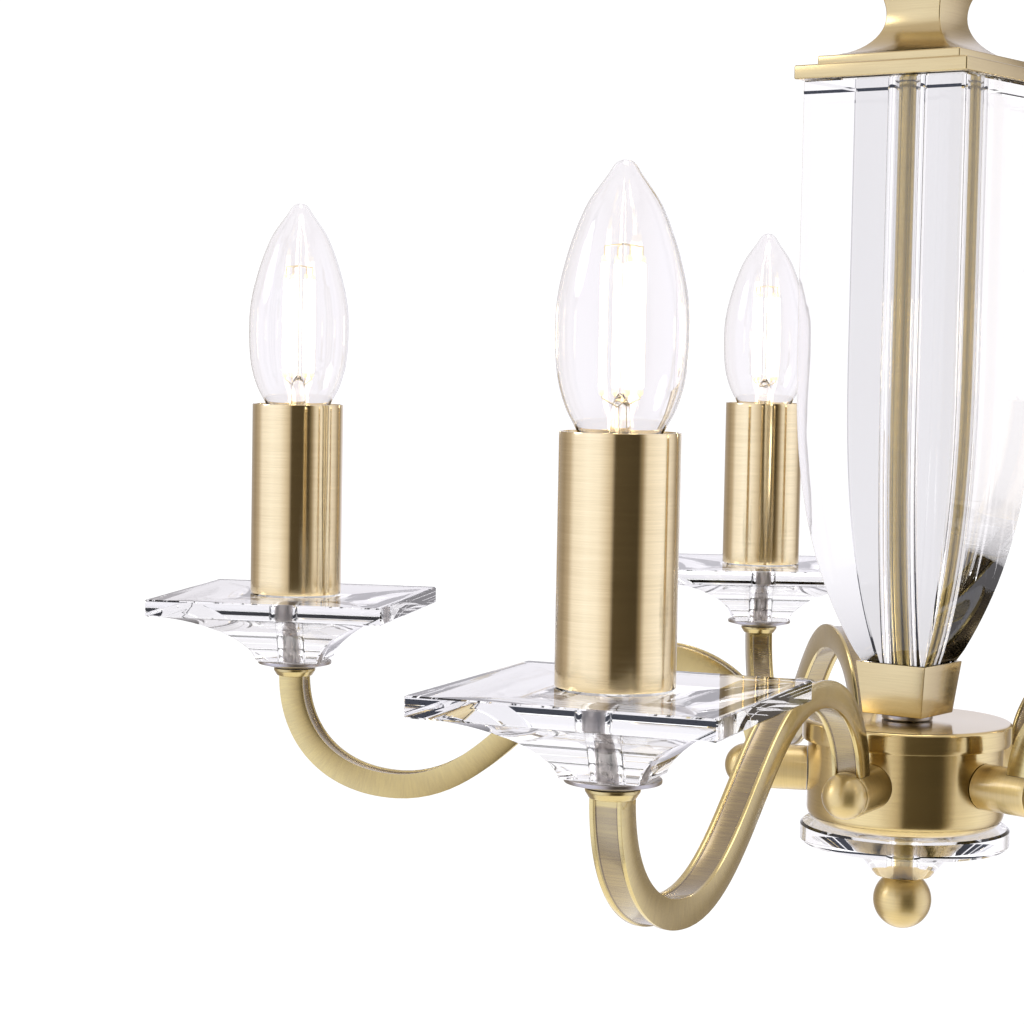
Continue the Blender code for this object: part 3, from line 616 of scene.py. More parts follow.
# %% Crystal column
glass_top = top("glass_column")
glass_low = foot("glass_column")
cup_top = top("column_cup")
cup_low = foot("column_cup")
COLUMN_HALF = 29.3 * MM
COLUMN_TAPER = 104.0 * MM
TAPER_STEPS = 28
COLUMN_BORE = 7.0 * MM
CUP_TOP = 13.1 * MM
CUP_BOTTOM = 11.1 * MM
CUP_WALL = 1.0 * MM
column_foot = CUP_TOP - CUP_WALL - GAP


def column_half(share):
    """Half side of the glass, share 0 where it starts to narrow and 1 at the cup."""
    return COLUMN_HALF - (COLUMN_HALF - CUP_TOP + CUP_WALL) * (0.26 * share + 0.74 * share * share) * share


taper = [(column_half(n / TAPER_STEPS), cup_top + COLUMN_TAPER * (1 - n / TAPER_STEPS))
         for n in range(TAPER_STEPS)]
slope = (CUP_TOP - CUP_BOTTOM) / (cup_top - cup_low)
column = square_spun([(0.0, glass_top), (COLUMN_HALF, glass_top), *taper, (column_foot, cup_top),
                      (column_foot - slope * (cup_top - glass_low), glass_low), (0.0, glass_low)], row=NO_ROWS)
soften(column, 0.55 * MM, 1, 40.0)
column = drilled(column, COLUMN_BORE, glass_low, glass_top, 96)
add_piece("crystal_column", column, column_crystal, "frame", ["glass_column"],
          at=column_place, smooth=12.0)

# %% [markdown]
# Inside the bore stands a thin brass tube, and the tie rod runs through it from the loop to the ball nut.
# Glass lets white light in from every side, so both get a darker copy of the brass than the pieces outside,
# which is painted shade. The rod's thread is too fine to see through the cut glass, so it is left plain,
# where a screw modifier could cut it.

# %% Tube and rod
TUBE_WALL = 0.8 * MM
ROD_BORE = 2.4 * MM
tube_radius = half_width("centre_tube")
tube_inside = tube_radius - TUBE_WALL
tube_low = foot("centre_tube")
tube = spun([(tube_inside, glass_top), (tube_radius, glass_top), (tube_radius, tube_low),
             (tube_inside, tube_low)], 64, ring=True, row=6 * MM)
add_piece("brass_tube", tube, inner_brass_painted_shade, "frame", ["centre_tube"])

rod_radius = half_width("tie_rod")
rod_top = top("tie_rod")
rod_low = foot("tie_rod")
rod = spun([(ROD_BORE, rod_top), (rod_radius, rod_top), (rod_radius, rod_low), (ROD_BORE, rod_low)],
           48, ring=True, row=8 * MM)
add_piece("threaded_rod", rod, inner_brass_painted_shade, "frame", ["tie_rod"])

# %% [markdown]
# A square brass cup holds the foot of the crystal in a shallow pocket, and a washer lifts it off the hub. The
# cup leans out a little, so its sides catch more light from above than the hub does. Two cubes and a Boolean
# would make the pocket, but here it is simply part of the profile.

# %% Cup and washer
CUP_POCKET = 4.0 * MM
cup_floor = cup_top - CUP_POCKET
cup_inside = CUP_TOP - CUP_WALL
cup = square_spun([(0.0, cup_floor), (cup_inside - slope * CUP_POCKET, cup_floor), (cup_inside, cup_top),
                   (CUP_TOP, cup_top), (CUP_BOTTOM, cup_low), (0.0, cup_low)], row=2.5 * MM)
soften(cup, 0.3 * MM, 3, 40.0)
cup = drilled(cup, ROD_HOLE, cup_low, cup_top)
add_piece("square_cup", cup, square_brass, "frame", ["column_cup"],
          square_grain, column_place)

washer_radius = half_width("column_washer")
washer = spun([(ROD_HOLE, top("column_washer")), (washer_radius, top("column_washer")),
               (washer_radius, foot("column_washer")), (ROD_HOLE, foot("column_washer"))], 96, ring=True)
soften(washer, 0.25 * MM)
add_piece("hub_washer", washer, nickel, "frame", ["column_washer"])

# %% [markdown]
# The hub is two spun shells, a cover with a short skirt and a drum with a rounded lower edge, which leave a
# fine line between them. Thick copies of one profile could be made with Solidify, but a closed profile shows
# the wall directly. The most steps of any piece go into the hub, because it mirrors everything round it.

# %% Hub cover
COVER_EDGE = 1.3 * MM
COVER_WALL = 1.5 * MM
HUB_STEPS = 160
cover_radius = half_width("hub_cover")
cover_top = top("hub_cover")
cover_low = foot("hub_cover")
cover_under = cover_top - COVER_WALL
skirt = HUB_RADIUS + GAP
cover = spun([(ROD_HOLE, cover_top), (cover_radius - COVER_EDGE, cover_top),
              *arc((cover_radius - COVER_EDGE, cover_top - COVER_EDGE), COVER_EDGE, 80, 0, 6),
              (cover_radius, cover_low), (skirt, cover_low), (skirt, cover_under), (ROD_HOLE, cover_under)],
             HUB_STEPS, ring=True, row=1.5 * MM)
soften(cover, 0.2 * MM, 2, 50.0)
add_piece("hub_lid", cover, turned_brass, "frame", ["hub_cover"])

# %% Hub drum
body_top = top("hub_body")
body_low = foot("hub_body")
HUB_EDGE = 5.0 * MM
HUB_WALL = 1.5 * MM
edge_middle = (HUB_RADIUS - HUB_EDGE, body_low + HUB_EDGE)
drum = spun([(HUB_RADIUS - HUB_WALL, body_top), (HUB_RADIUS, body_top),
             *arc(edge_middle, HUB_EDGE, 0, -90, 14), (ROD_HOLE, body_low), (ROD_HOLE, body_low + HUB_WALL),
             *arc(edge_middle, HUB_EDGE - HUB_WALL, -90, 0, 8)], HUB_STEPS, ring=True, row=1.5 * MM)
soften(drum, 0.15 * MM, 2, 50.0)
add_piece("hub_drum", drum, turned_brass, "frame", ["hub_body"])

# %% [markdown]
# Inside the drum, a white plastic block joins the wires of the five arms. It is never seen from outside, so a
# rounded cube is enough, where a visible one would have its screws and wire entries.

# %% Terminal block
block_low, block_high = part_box("terminal_block")
block = bmesh.new()
bmesh.ops.create_cube(block, size=1.0)
bmesh.ops.scale(block, vec=block_high - block_low, verts=block.verts)
soften(block, 0.8 * MM, 3)
add_piece("terminal_housing", block, white_plastic, "frame", ["terminal_block"],
          at=Matrix.Translation((block_low + block_high) / 2))

# %% [markdown]
# Under the hub lies a round of cut glass with a polished rim, turned down to a short waist. Small flat cuts
# round the rim and the cone break the light up. A wheel grinds them on the real glass, and here the spin has
# only as many steps as there are cuts, so every step is a flat.

# %% Lower glass
disc_top = top("lower_glass")
disc_low = foot("lower_glass")
disc_radius = half_width("lower_glass")
DISC_THICK = 6.5 * MM
CONE_TOP = 20.0 * MM
CONE_BOTTOM = 9.5 * MM
DISC_CHAMFER = 0.8 * MM
DISC_CUTS = 72
rim_low = disc_top - DISC_THICK
cone_height = rim_low - disc_low
rim_flat = disc_radius - DISC_CHAMFER
disc = spun([(ROD_HOLE, disc_top), (rim_flat, disc_top), (disc_radius, disc_top - DISC_CHAMFER),
             (disc_radius, rim_low + DISC_CHAMFER), (rim_flat, rim_low), (CONE_TOP, rim_low),
             ((CONE_TOP + CONE_BOTTOM) * 0.46, rim_low - cone_height * 0.55),
             (CONE_BOTTOM, disc_low), (ROD_HOLE, disc_low)], DISC_CUTS, ring=True, row=NO_ROWS)
add_piece("cut_glass_round", disc, crystal, "frame", ["lower_glass"], smooth=20.0)

# %% [markdown]
# A brass ball nut closes the rod. Its top is cut flat where it meets the glass, and it has a blind hole for
# the rod. A UV sphere would need both added to it, and in a profile they are three more points.

# %% Ball nut
BALL_SEAT = 5.5 * MM
BALL_HOLE = 6.0 * MM
ball_radius = half_width("finial_ball")
ball_low = foot("finial_ball")
ball_middle = (0.0, ball_low + ball_radius)
seat_angle = math.degrees(math.acos(BALL_SEAT / ball_radius))
seat_level = ball_middle[1] + ball_radius * math.sin(math.radians(seat_angle))
ball = spun([(0.0, seat_level - BALL_HOLE), (ROD_HOLE, seat_level - BALL_HOLE), (ROD_HOLE, seat_level),
             *arc(ball_middle, ball_radius, seat_angle, -90, 36)[:-1], (0.0, ball_low)], 96, row=NO_ROWS)
add_piece("ball_nut", ball, satin_brass, "frame", ["finial_ball"])

# %% [markdown]
# An arm is a bar bent in one plane: down from the candle, through the low bend, over the arch and down onto
# its boss. A shallow band runs along both curved faces and leaves a thin ridge on each edge. A curve with a
# bevel object would sweep it, but extruding the outline step by step lets each ring of points keep its place
# along the bar, and the brushed lines need that place.

# %% The arm's centre line and outline
ARM_WIDTH = 9.6 * MM
ARM_DEPTH = 8.6 * MM
BAND_WIDTH = 7.0 * MM
BAND_DEPTH = 0.8 * MM
LEG_RADIUS = 49.0 * MM
ARCH_RADIUS = 86.5 * MM
ARCH_RISE = 36.5 * MM
BEND_RADIUS = 177.0 * MM
BEND_DROP = 13.8 * MM
END_RISE = 23.5 * MM
LAMP_HANDLE = 23.2 * MM
ARCH_HANDLE = 38.0 * MM
LEG_HANDLE = 0.60 * (ARCH_RISE - 0.4 * BOSS_RADIUS)
INNER_HANDLE = 0.55 * (ARCH_RADIUS - LEG_RADIUS)


def arm_line(count=30):
    """Points of the centre line from the candle end to the boss, as (radius, height)."""
    lamp = Vector((LAMP_CIRCLE, END_RISE))
    bend = Vector((BEND_RADIUS, -BEND_DROP))
    arch = Vector((ARCH_RADIUS, ARCH_RISE))
    leg = Vector((LEG_RADIUS, BOSS_RADIUS * 0.4))
    level = Vector((1.0, 0.0))
    rise = Vector((0.0, 1.0))
    parts = [(lamp, lamp - rise * LAMP_HANDLE, bend + level * LAMP_HANDLE, bend),
             (bend, bend - level * ARCH_HANDLE, arch + level * ARCH_HANDLE, arch),
             (arch, arch - level * INNER_HANDLE, leg + rise * LEG_HANDLE, leg)]
    line = [lamp]
    for start, first, second, end in parts:
        line += interpolate_bezier(start, first, second, end, count)[1:]
    return line


def arm_outline():
    """Across the bar: (side, face) points, running once round."""
    side = ARM_WIDTH / 2
    face = ARM_DEPTH / 2
    band = BAND_WIDTH / 2
    floor = face - BAND_DEPTH
    slant = BAND_DEPTH * 0.5
    upper = [(side, face), (band, face), (band - slant, floor),
             (slant - band, floor), (-band, face), (-side, face)]
    return upper + [(-x, -y) for x, y in upper]


centre_line = arm_line()
print("arm length:", round(sum((b - a).length for a, b in zip(centre_line, centre_line[1:])) / MM), "mm")

# %% Stations along the arm


def stations():
    """A matrix for each point of the line: the outline's side is Y, its face looks out of the bend."""
    frames = []
    for n, point in enumerate(centre_line):
        before = centre_line[max(n - 1, 0)]
        after = centre_line[min(n + 1, len(centre_line) - 1)]
        way = (after - before).normalized()
        if n in (0, len(centre_line) - 1):
            way = Vector((0.0, -1.0))
        along = Vector((way.x, 0.0, way.y))
        side = Vector((0.0, 1.0, 0.0))
        face = side.cross(along)
        matrix = Matrix((side, face, along)).transposed().to_4x4()
        matrix.translation = (point.x, 0.0, BOSS_LEVEL + point.y)
        frames.append(matrix)
    return frames


print("stations:", len(stations()))

# %% [markdown]
# The outline stands at the first station, and each extrusion moves its copy on to the next one. Brushing runs
# across the bar, so the grain keeps the way round the outline apart from the way along the bar. The last ring
# is laid on the boss, whose round top it has to fit.

# %% Sweep the bar


def arm_bar():
    """The outline extruded from station to station, with the grain stored on the way."""
    bar = bmesh.new()
    grain = bar.verts.layers.float_vector.new("grain")
    frames = stations()
    outline = arm_outline()
    ring = [bar.verts.new(frames[0] @ Vector((x, y, 0.0))) for x, y in outline]
    edges = [bar.edges.new(pair) for pair in zip(ring, ring[1:] + ring[:1])]
    first = bar.faces.new(ring)
    around = [0.0]
    for (x1, y1), (x2, y2) in zip(outline, outline[1:]):
        around.append(around[-1] + math.hypot(x2 - x1, y2 - y1))
    for vert, across in zip(ring, around):
        vert[grain] = (across, 0.0, 0.0)
    length = 0.0
    for here, after in zip(frames, frames[1:]):
        length += (after.translation - here.translation).length
        out = bmesh.ops.extrude_edge_only(bar, edges=edges)["geom"]
        verts = [item for item in out if isinstance(item, bmesh.types.BMVert)]
        edges = [item for item in out
                 if isinstance(item, bmesh.types.BMEdge) and all(v in verts for v in item.verts)]
        bmesh.ops.transform(bar, matrix=after @ here.inverted(), verts=verts)
        for vert in verts:
            vert[grain] = (vert[grain].x, 0.0, length)
    bmesh.ops.contextual_create(bar, geom=edges)
    for vert in verts:
        across = vert.co.y
        vert.co.z = BOSS_LEVEL + math.sqrt((BOSS_RADIUS + GAP) ** 2 - across ** 2)
    bmesh.ops.recalc_face_normals(bar, faces=bar.faces)
    soften(bar, 0.22 * MM, 2, 32.0)
    return bar


print("bar outline:", len(arm_outline()), "points")

# %% Collar on the arm, and all five arms
COLLAR_TOP = 7.4 * MM
COLLAR_FOOT = 6.2 * MM
COLLAR_HEIGHT = 2.4 * MM


def arm_collar():
    """The little turned swelling that carries the dish, at the arm's outer end."""
    end = BOSS_LEVEL + END_RISE
    peak = end + COLLAR_HEIGHT
    collar = spun([(0.0, peak), (COLLAR_TOP, peak), (COLLAR_TOP, peak - COLLAR_HEIGHT * 0.35),
                   (COLLAR_FOOT, end - GAP), (0.0, end - GAP)], 64, row=1.0 * MM)
    soften(collar, 0.25 * MM)
    store_grain(collar, round_grain)
    bmesh.ops.translate(collar, verts=collar.verts, vec=(LAMP_CIRCLE, 0.0, 0.0))
    return collar


for k in ARMS:
    add_piece(f"arm_bar_{k}", joined(arm_bar(), arm_collar()), arm_brass, "frame",
              [f"arm_{k}"], rule=None, at=upright(ARM_ANGLES[k]), smooth=28.0)

# %% [markdown]
# Each arm lands on a boss: a short turned barrel that sits on the hub, with a domed cap nut on its outer end.
# A fine line shows where the nut starts. The inner end is scooped to the hub's own radius, so the last ring
# of points is slid along the axis until every point touches the drum.

# %% Bosses
BOSS_JOINT = HUB_RADIUS + 21.0 * MM
DOME_RADIUS = 7.4 * MM
GROOVE = 0.35 * MM


def boss_shape():
    inner = HUB_RADIUS * 0.85
    dome = arc((0.0, BOSS_JOINT), DOME_RADIUS, 90, 0, 20)
    shape = spun([(0.0, dome[0][1]), *dome[1:], (DOME_RADIUS - GROOVE, BOSS_JOINT - GROOVE),
                  (BOSS_RADIUS - 0.1 * MM, BOSS_JOINT - 2 * GROOVE), (BOSS_RADIUS, BOSS_JOINT - 4 * GROOVE),
                  (BOSS_RADIUS, inner), (0.0, inner)], 72, row=1.2 * MM)
    store_grain(shape, round_grain)
    touching = HUB_RADIUS + GAP
    for vert in shape.verts:
        surface = math.sqrt(max(touching ** 2 - vert.co.y ** 2, 0.0))
        if vert.co.z < surface:
            vert.co.z = surface
    bmesh.ops.dissolve_degenerate(shape, dist=0.01 * MM, edges=shape.edges)
    return shape


lying = Matrix.Translation((0, 0, BOSS_LEVEL)) @ Matrix.Rotation(quarter, 4, "Y")
for k in ARMS:
    add_piece(f"boss_turned_{k}", boss_shape(), satin_brass, "frame", [f"arm_boss_{k}"],
              rule=None, at=upright(ARM_ANGLES[k]) @ lying)

# %% [markdown]
# A nickel seat stands on the arm's end, and its hollow nipple goes up through the dish and clamps it. The
# dish is a square of crystal: a slab with upright polished edges over an underside that curves in to a small
# foot. The curve could be eased by Subdivision, but the real one is ground in flats, so it's a row of straight
# steps. Each dish sits a few degrees round from its neighbour, as hand-fitted glass does.

# %% Shapes of the seat and the dish
DISH_HALF = 41.7 * MM
DISH_EDGE = 5.8 * MM
DISH_FOOT_HALF = 11.2 * MM
DISH_CURVE = 1.6
DISH_TURNS = {1: 7.1, 2: 2.1, 3: -8.0, 4: 4.0, 5: -3.0}
NIPPLE = 4.8 * MM
NIPPLE_BORE = 3.2 * MM
SEAT_RADIUS = 13.0 * MM
SEAT_THICK = 2.4 * MM
NIPPLE_TOP = top("dish_seat_1")


def seat_shape():
    ledge = SEAT_FOOT + SEAT_THICK
    shape = spun([(NIPPLE_BORE, NIPPLE_TOP), (NIPPLE, NIPPLE_TOP), (NIPPLE, ledge), (SEAT_RADIUS, ledge),
                  (SEAT_RADIUS, ledge - SEAT_THICK * 0.45), (COLLAR_TOP, SEAT_FOOT), (NIPPLE_BORE, SEAT_FOOT)],
                 72, ring=True, row=1.5 * MM)
    return soften(shape, 0.2 * MM, 2)


def dish_shape(steps=18):
    """Half sides and heights down the dish, then the nipple's hole."""
    run = DISH_HALF - DISH_FOOT_HALF
    fall = DISH_TOP - DISH_EDGE - DISH_FOOT
    line = [(0.0, DISH_TOP), (DISH_HALF, DISH_TOP), (DISH_HALF, DISH_TOP - DISH_EDGE)]
    for n in range(1, steps):
        angle = math.radians(90.0 * n / steps)
        across = math.sin(angle) ** (2.0 / DISH_CURVE)
        down = math.cos(angle) ** (2.0 / DISH_CURVE)
        line.append((DISH_HALF - run * across, DISH_FOOT + fall * down))
    line += [(DISH_FOOT_HALF, DISH_FOOT), (0.0, DISH_FOOT)]
    shape = square_spun(line, row=NO_ROWS)
    soften(shape, 0.4 * MM, 1, 40.0)
    return drilled(shape, NIPPLE + GAP, DISH_FOOT, DISH_TOP)


print("dish:", round(2 * DISH_HALF / MM, 1), "mm square")

# %% Five seats and dishes
for k in ARMS:
    lamp_place = upright(ARM_ANGLES[k], LAMP_CIRCLE)
    add_piece(f"seat_nipple_{k}", seat_shape(), nickel, "frame", [f"dish_seat_{k}"], at=lamp_place)
    add_piece(f"crystal_dish_{k}", dish_shape(), crystal, "frame", [f"glass_dish_{k}"],
              at=lamp_place @ Matrix.Rotation(math.radians(DISH_TURNS[k]), 4, "Z"), smooth=14.0)

# %% [markdown]
# The candle is a loose brass sleeve over a white lampholder. The sleeve is drawn tube with turned ends, and
# brushed round and round, which gives it upright bands of light. The holder is hidden inside until the sleeve
# is lifted, so it has its rim and its round socket. Solidify could thicken a plain tube, but a closed profile
# also gives the ends their small bevel.

# %% Shapes of the sleeve and the lampholder
SLEEVE_RADIUS = half_width("candle_sleeve_1")
SLEEVE_WALL = 0.8 * MM
HOLDER_RADIUS = 13.0 * MM
HOLDER_TOP = top("lampholder_1")
HOLDER_FOOT = foot("lampholder_1")
CAP_RADIUS = 6.9 * MM
SOCKET = CAP_RADIUS + 0.6 * MM
CAP_FOOT = foot("lamp_cap_1")


def sleeve_shape():
    inner = SLEEVE_RADIUS - SLEEVE_WALL
    shape = spun([(inner, MOUTH), (SLEEVE_RADIUS, MOUTH), (SLEEVE_RADIUS, SLEEVE_FOOT), (inner, SLEEVE_FOOT)],
                 128, ring=True, row=1.5 * MM)
    return soften(shape, 0.2 * MM, 2, 50.0)


def holder_shape():
    nut = NIPPLE + GAP
    floor = CAP_FOOT - GAP
    shoulder_level = HOLDER_TOP - 1.4 * MM
    shape = spun([(0.0, floor), (SOCKET, floor), (SOCKET, HOLDER_TOP), (SOCKET + 2.0 * MM, HOLDER_TOP),
                  (SOCKET + 2.6 * MM, shoulder_level), (HOLDER_RADIUS - 0.8 * MM, shoulder_level),
                  (HOLDER_RADIUS, HOLDER_TOP - 2.2 * MM), (HOLDER_RADIUS, HOLDER_FOOT), (nut, HOLDER_FOOT),
                  (nut, NIPPLE_TOP + GAP), (0.0, NIPPLE_TOP + GAP)], 72, row=2.5 * MM)
    return soften(shape, 0.25 * MM, 2)


print("sleeve:", round(2 * SLEEVE_RADIUS / MM, 1), "mm across")

# %% Five sleeves and lampholders
for k in ARMS:
    lamp_place = upright(ARM_ANGLES[k], LAMP_CIRCLE)
    add_piece(f"sleeve_drawn_{k}", sleeve_shape(), sleeve_brass, f"sleeve_{k}",
              [f"candle_sleeve_{k}"], at=lamp_place)
    add_piece(f"holder_moulded_{k}", holder_shape(), white_plastic, "frame",
              [f"lampholder_{k}"], at=lamp_place)

# %% [markdown]
# The lamps are clear candle lamps. A blown glass envelope, drawn out to a blunt tip, stands in a nickel screw
# cap. Its outline is a short list of radii and heights above the sleeve's mouth, in millimetres, with a smooth
# curve through them. Subdivision would round it as well, but would also pull it in from its real width.

# %% Lamp glass
CAP_TOP = top("lamp_cap_1")
CAP_FLANGE = half_width("lamp_cap_1")
BULB_TIP = top("lamp_bulb_1")
BULB_WALL = 0.6 * MM
BULB_LINE = [(0.0, 70.5), (1.6, 70.2), (3.0, 69.0), (4.6, 66.5), (7.0, 63.2), (9.4, 59.6), (11.2, 55.8),
             (12.8, 51.6), (14.1, 47.8), (15.2, 43.8), (16.2, 39.8), (16.95, 35.6), (17.4, 31.2), (17.5, 27.0),
             (17.45, 22.0), (17.1, 17.0), (16.5, 12.8), (15.5, 9.0), (14.2, 5.4), (12.6, 2.3), (10.6, -1.2),
             (8.0, -4.7)]


def smooth_line(points, count=4):
    """More points through a rough line, on a Catmull-Rom curve."""
    line = []
    padded = [points[0], *points, points[-1]]
    for a, b, c, d in zip(padded, padded[1:], padded[2:], padded[3:]):
        for n in range(count):
            t = n / count
            line.append(tuple(0.5 * (2 * q + (r - p) * t + (2 * p - 5 * q + 4 * r - s) * t * t
                                     + (3 * q - p - 3 * r + s) * t ** 3) for p, q, r, s in zip(a, b, c, d)))
    return line + [points[-1]]


def bulb_shape():
    outer = [(max(r, 0.0) * MM, MOUTH + z * MM) for r, z in smooth_line(BULB_LINE)]
    outer[0] = (0.0, BULB_TIP)
    inner = [(max(r - BULB_WALL, 0.0), z) for r, z in outer if r > BULB_WALL]
    inner = [(0.0, BULB_TIP - 1.5 * BULB_WALL)] + inner
    return spun(outer + inner[::-1], 72, row=NO_ROWS)


print("lamp glass:", len(smooth_line(BULB_LINE)), "points down its outline")

# %% [markdown]
# The screw cap's thread is pressed out of thin metal in soft waves. A true helix could be made with Screw, but
# a few rounded rings look the same at this size, and they spin with the rest of the cap.

# %% Lamp cap
THREAD_TURNS = 5
THREAD_PITCH = 2.8 * MM
THREAD_DEPTH = 0.35 * MM
WAVE_STEPS = 8


def cap_shape():
    """A flared rim, the thread as rounded rings, and the tip contact below."""
    rim = HOLDER_TOP + GAP
    thread_top = rim - 1.0 * MM
    line = [(0.0, CAP_TOP), (CAP_FLANGE - 0.9 * MM, CAP_TOP), (CAP_FLANGE, CAP_TOP - 0.8 * MM),
            (CAP_FLANGE - 0.2 * MM, rim + 1.0 * MM), (CAP_RADIUS, rim)]
    for step in range(THREAD_TURNS * WAVE_STEPS):
        turned = step / WAVE_STEPS
        wave = 1 - math.cos(math.tau * turned)
        line.append((CAP_RADIUS - THREAD_DEPTH * wave, thread_top - THREAD_PITCH * turned))
    line += [(CAP_RADIUS, thread_top - THREAD_PITCH * THREAD_TURNS), (CAP_RADIUS * 0.9, CAP_FOOT + 2.6 * MM),
             (3.5 * MM, CAP_FOOT + 1.5 * MM), (2.5 * MM, CAP_FOOT), (0.0, CAP_FOOT)]
    return spun(line, 48, row=2.5 * MM)


print("thread:", THREAD_TURNS, "rings")

# %% [markdown]
# Inside the lamp, a pinched glass stem carries thin wires up to a little star, and four sticks of glowing
# phosphor hang between the star and the lower wires. Curves with a round bevel would do for the wires, but
# cones with equal ends are meshes from the start. Each is its own shape, because each has its own finish.

# %% Glowing sticks
STICK_LOW = MOUTH + 11.0 * MM
STICK_HIGH = MOUTH + 44.0 * MM
STICK_CIRCLE = 5.2 * MM
STICK_RADIUS = 0.95 * MM
TIP_RADIUS = STICK_RADIUS * 0.8
TIP_OUT = 1.6 * MM
TIP_IN = 0.6 * MM


def stick(low, high, radius):
    """An upright rod with rounded ends."""
    return spun([(0.0, high), *arc((0.0, high - radius), radius, 80, 0, 6),
                 *arc((0.0, low + radius), radius, 0, -80, 6), (0.0, low)], 20, row=6 * MM)


def moved(shape, x, y):
    bmesh.ops.translate(shape, verts=shape.verts, vec=(x, y, 0.0))
    return shape


def corners(radius, turn=45.0):
    """Four places on a circle, a quarter turn apart."""
    angles = [math.radians(turn + 90 * n) for n in range(4)]
    return [(radius * math.cos(angle), radius * math.sin(angle)) for angle in angles]


def stick_set(low, high, radius):
    return joined(*(moved(stick(low, high, radius), x, y) for x, y in corners(STICK_CIRCLE)))


def tip_set():
    """The dim short ends of the sticks, above and below."""
    return joined(stick_set(STICK_HIGH - TIP_IN, STICK_HIGH + TIP_OUT, TIP_RADIUS),
                  stick_set(STICK_LOW - TIP_OUT, STICK_LOW + TIP_IN, TIP_RADIUS))


print("sticks:", round((STICK_HIGH - STICK_LOW) / MM), "mm long")

# %% Wires and stem
STAR_LEVEL = MOUTH + 48.0 * MM
STEM_TOP = MOUTH + 9.0 * MM
LEAD_LEVEL = STICK_LOW - 2.2 * MM


def wire(start, end, radius=0.16 * MM):
    """A thin straight wire from one point to another."""
    start = Vector(start)
    end = Vector(end)
    shape = bmesh.new()
    bmesh.ops.create_cone(shape, cap_ends=True, segments=8, radius1=radius, radius2=radius,
                          depth=(end - start).length)
    way = (end - start).to_track_quat("Z", "Y").to_matrix().to_4x4()
    bmesh.ops.transform(shape, matrix=Matrix.Translation((start + end) / 2) @ way, verts=shape.verts)
    return shape


def wire_set():
    """The star above, the leads below, and the short ends of every stick."""
    shapes = []
    for number, (x, y) in enumerate(corners(STICK_CIRCLE)):
        shapes.append(wire((x, y, STICK_HIGH - 1 * MM), (x, y, STAR_LEVEL)))
        shapes.append(wire((x, y, STAR_LEVEL), (x * 0.12, y * 0.12, STAR_LEVEL + 0.6 * MM)))
        shapes.append(wire((x, y, STICK_LOW + 1 * MM), (x, y, LEAD_LEVEL)))
        side = 1.0 if number in (0, 3) else -1.0
        shapes.append(wire((x, y, LEAD_LEVEL), (side * 1.8 * MM, 0.0, STEM_TOP - 2.5 * MM)))
    return joined(*shapes)


def stem_shape():
    """Flared foot, pinched top and the thin glass pillar that holds the star."""
    base = CAP_TOP + GAP
    return spun([(0.0, STAR_LEVEL + 1.2 * MM), (0.7 * MM, STAR_LEVEL + 0.8 * MM),
                 (0.75 * MM, STEM_TOP + 1 * MM), (1.5 * MM, STEM_TOP), (2.4 * MM, STEM_TOP - 2 * MM),
                 (2.6 * MM, STEM_TOP - 5 * MM), (2.8 * MM, base + 3 * MM), (4.6 * MM, base + 1.0 * MM),
                 (5.6 * MM, base), (0.0, base)], 40, row=3 * MM)


print("star", round((STAR_LEVEL - STEM_TOP) / MM), "mm above the stem")

# %% Five lamps
for k in ARMS:
    body = f"lamp_{k}"
    lamp_place = upright(ARM_ANGLES[k], LAMP_CIRCLE)
    add_piece(f"lamp_envelope_{k}", bulb_shape(), lamp_glass, body, [f"lamp_bulb_{k}"],
              at=lamp_place)
    add_piece(f"lamp_screw_cap_{k}", cap_shape(), nickel, body, [f"lamp_cap_{k}"], at=lamp_place)
    add_piece(f"lamp_sticks_{k}", stick_set(STICK_LOW, STICK_HIGH, STICK_RADIUS), phosphor, body,
              [f"lamp_filaments_{k}"], at=lamp_place)
    add_piece(f"lamp_stick_tips_{k}", tip_set(), phosphor_tip, body, at=lamp_place)
    add_piece(f"lamp_wires_{k}", wire_set(), wire_metal, body, at=lamp_place)
    add_piece(f"lamp_stem_{k}", stem_shape(), stem_glass, body, at=lamp_place)

# %% [markdown]
# The studio is a white room. Polished metal and glass show nothing but the room round them, so the room gets
# a few darker upright zones: one where the camera stands, and one on each side near the back, which draw the
# dark edges of every cylinder. The zones are set by direction in the world's shader. Panels on stands would do
# the same, and cost more time to trace. Metal and glass get a room each, because glass wants far paler zones.

# %% Zones of the two rooms
CAMERA_SIDE = math.radians(-69.45)


def azimuth_ramp(graph, turn, stops):
    """A colour for each way round the light, in degrees from the camera's side, positive to the right."""
    placed = [((degrees + 180.0) / 360.0, colour) for degrees, colour in stops]
    return graph.node("ShaderNodeValToRGB", {"stops": placed}, {"Fac": turn})


def metal_tone(value):
    """A grey that turns cooler as it brightens, so bright bands on brass go pale and dark ones stay brown."""
    return (value, value * (0.80 + 0.22 * value), value * (0.50 + 0.70 * value))


def glass_tone(value):
    return (value, value * 0.985, value * 1.01)


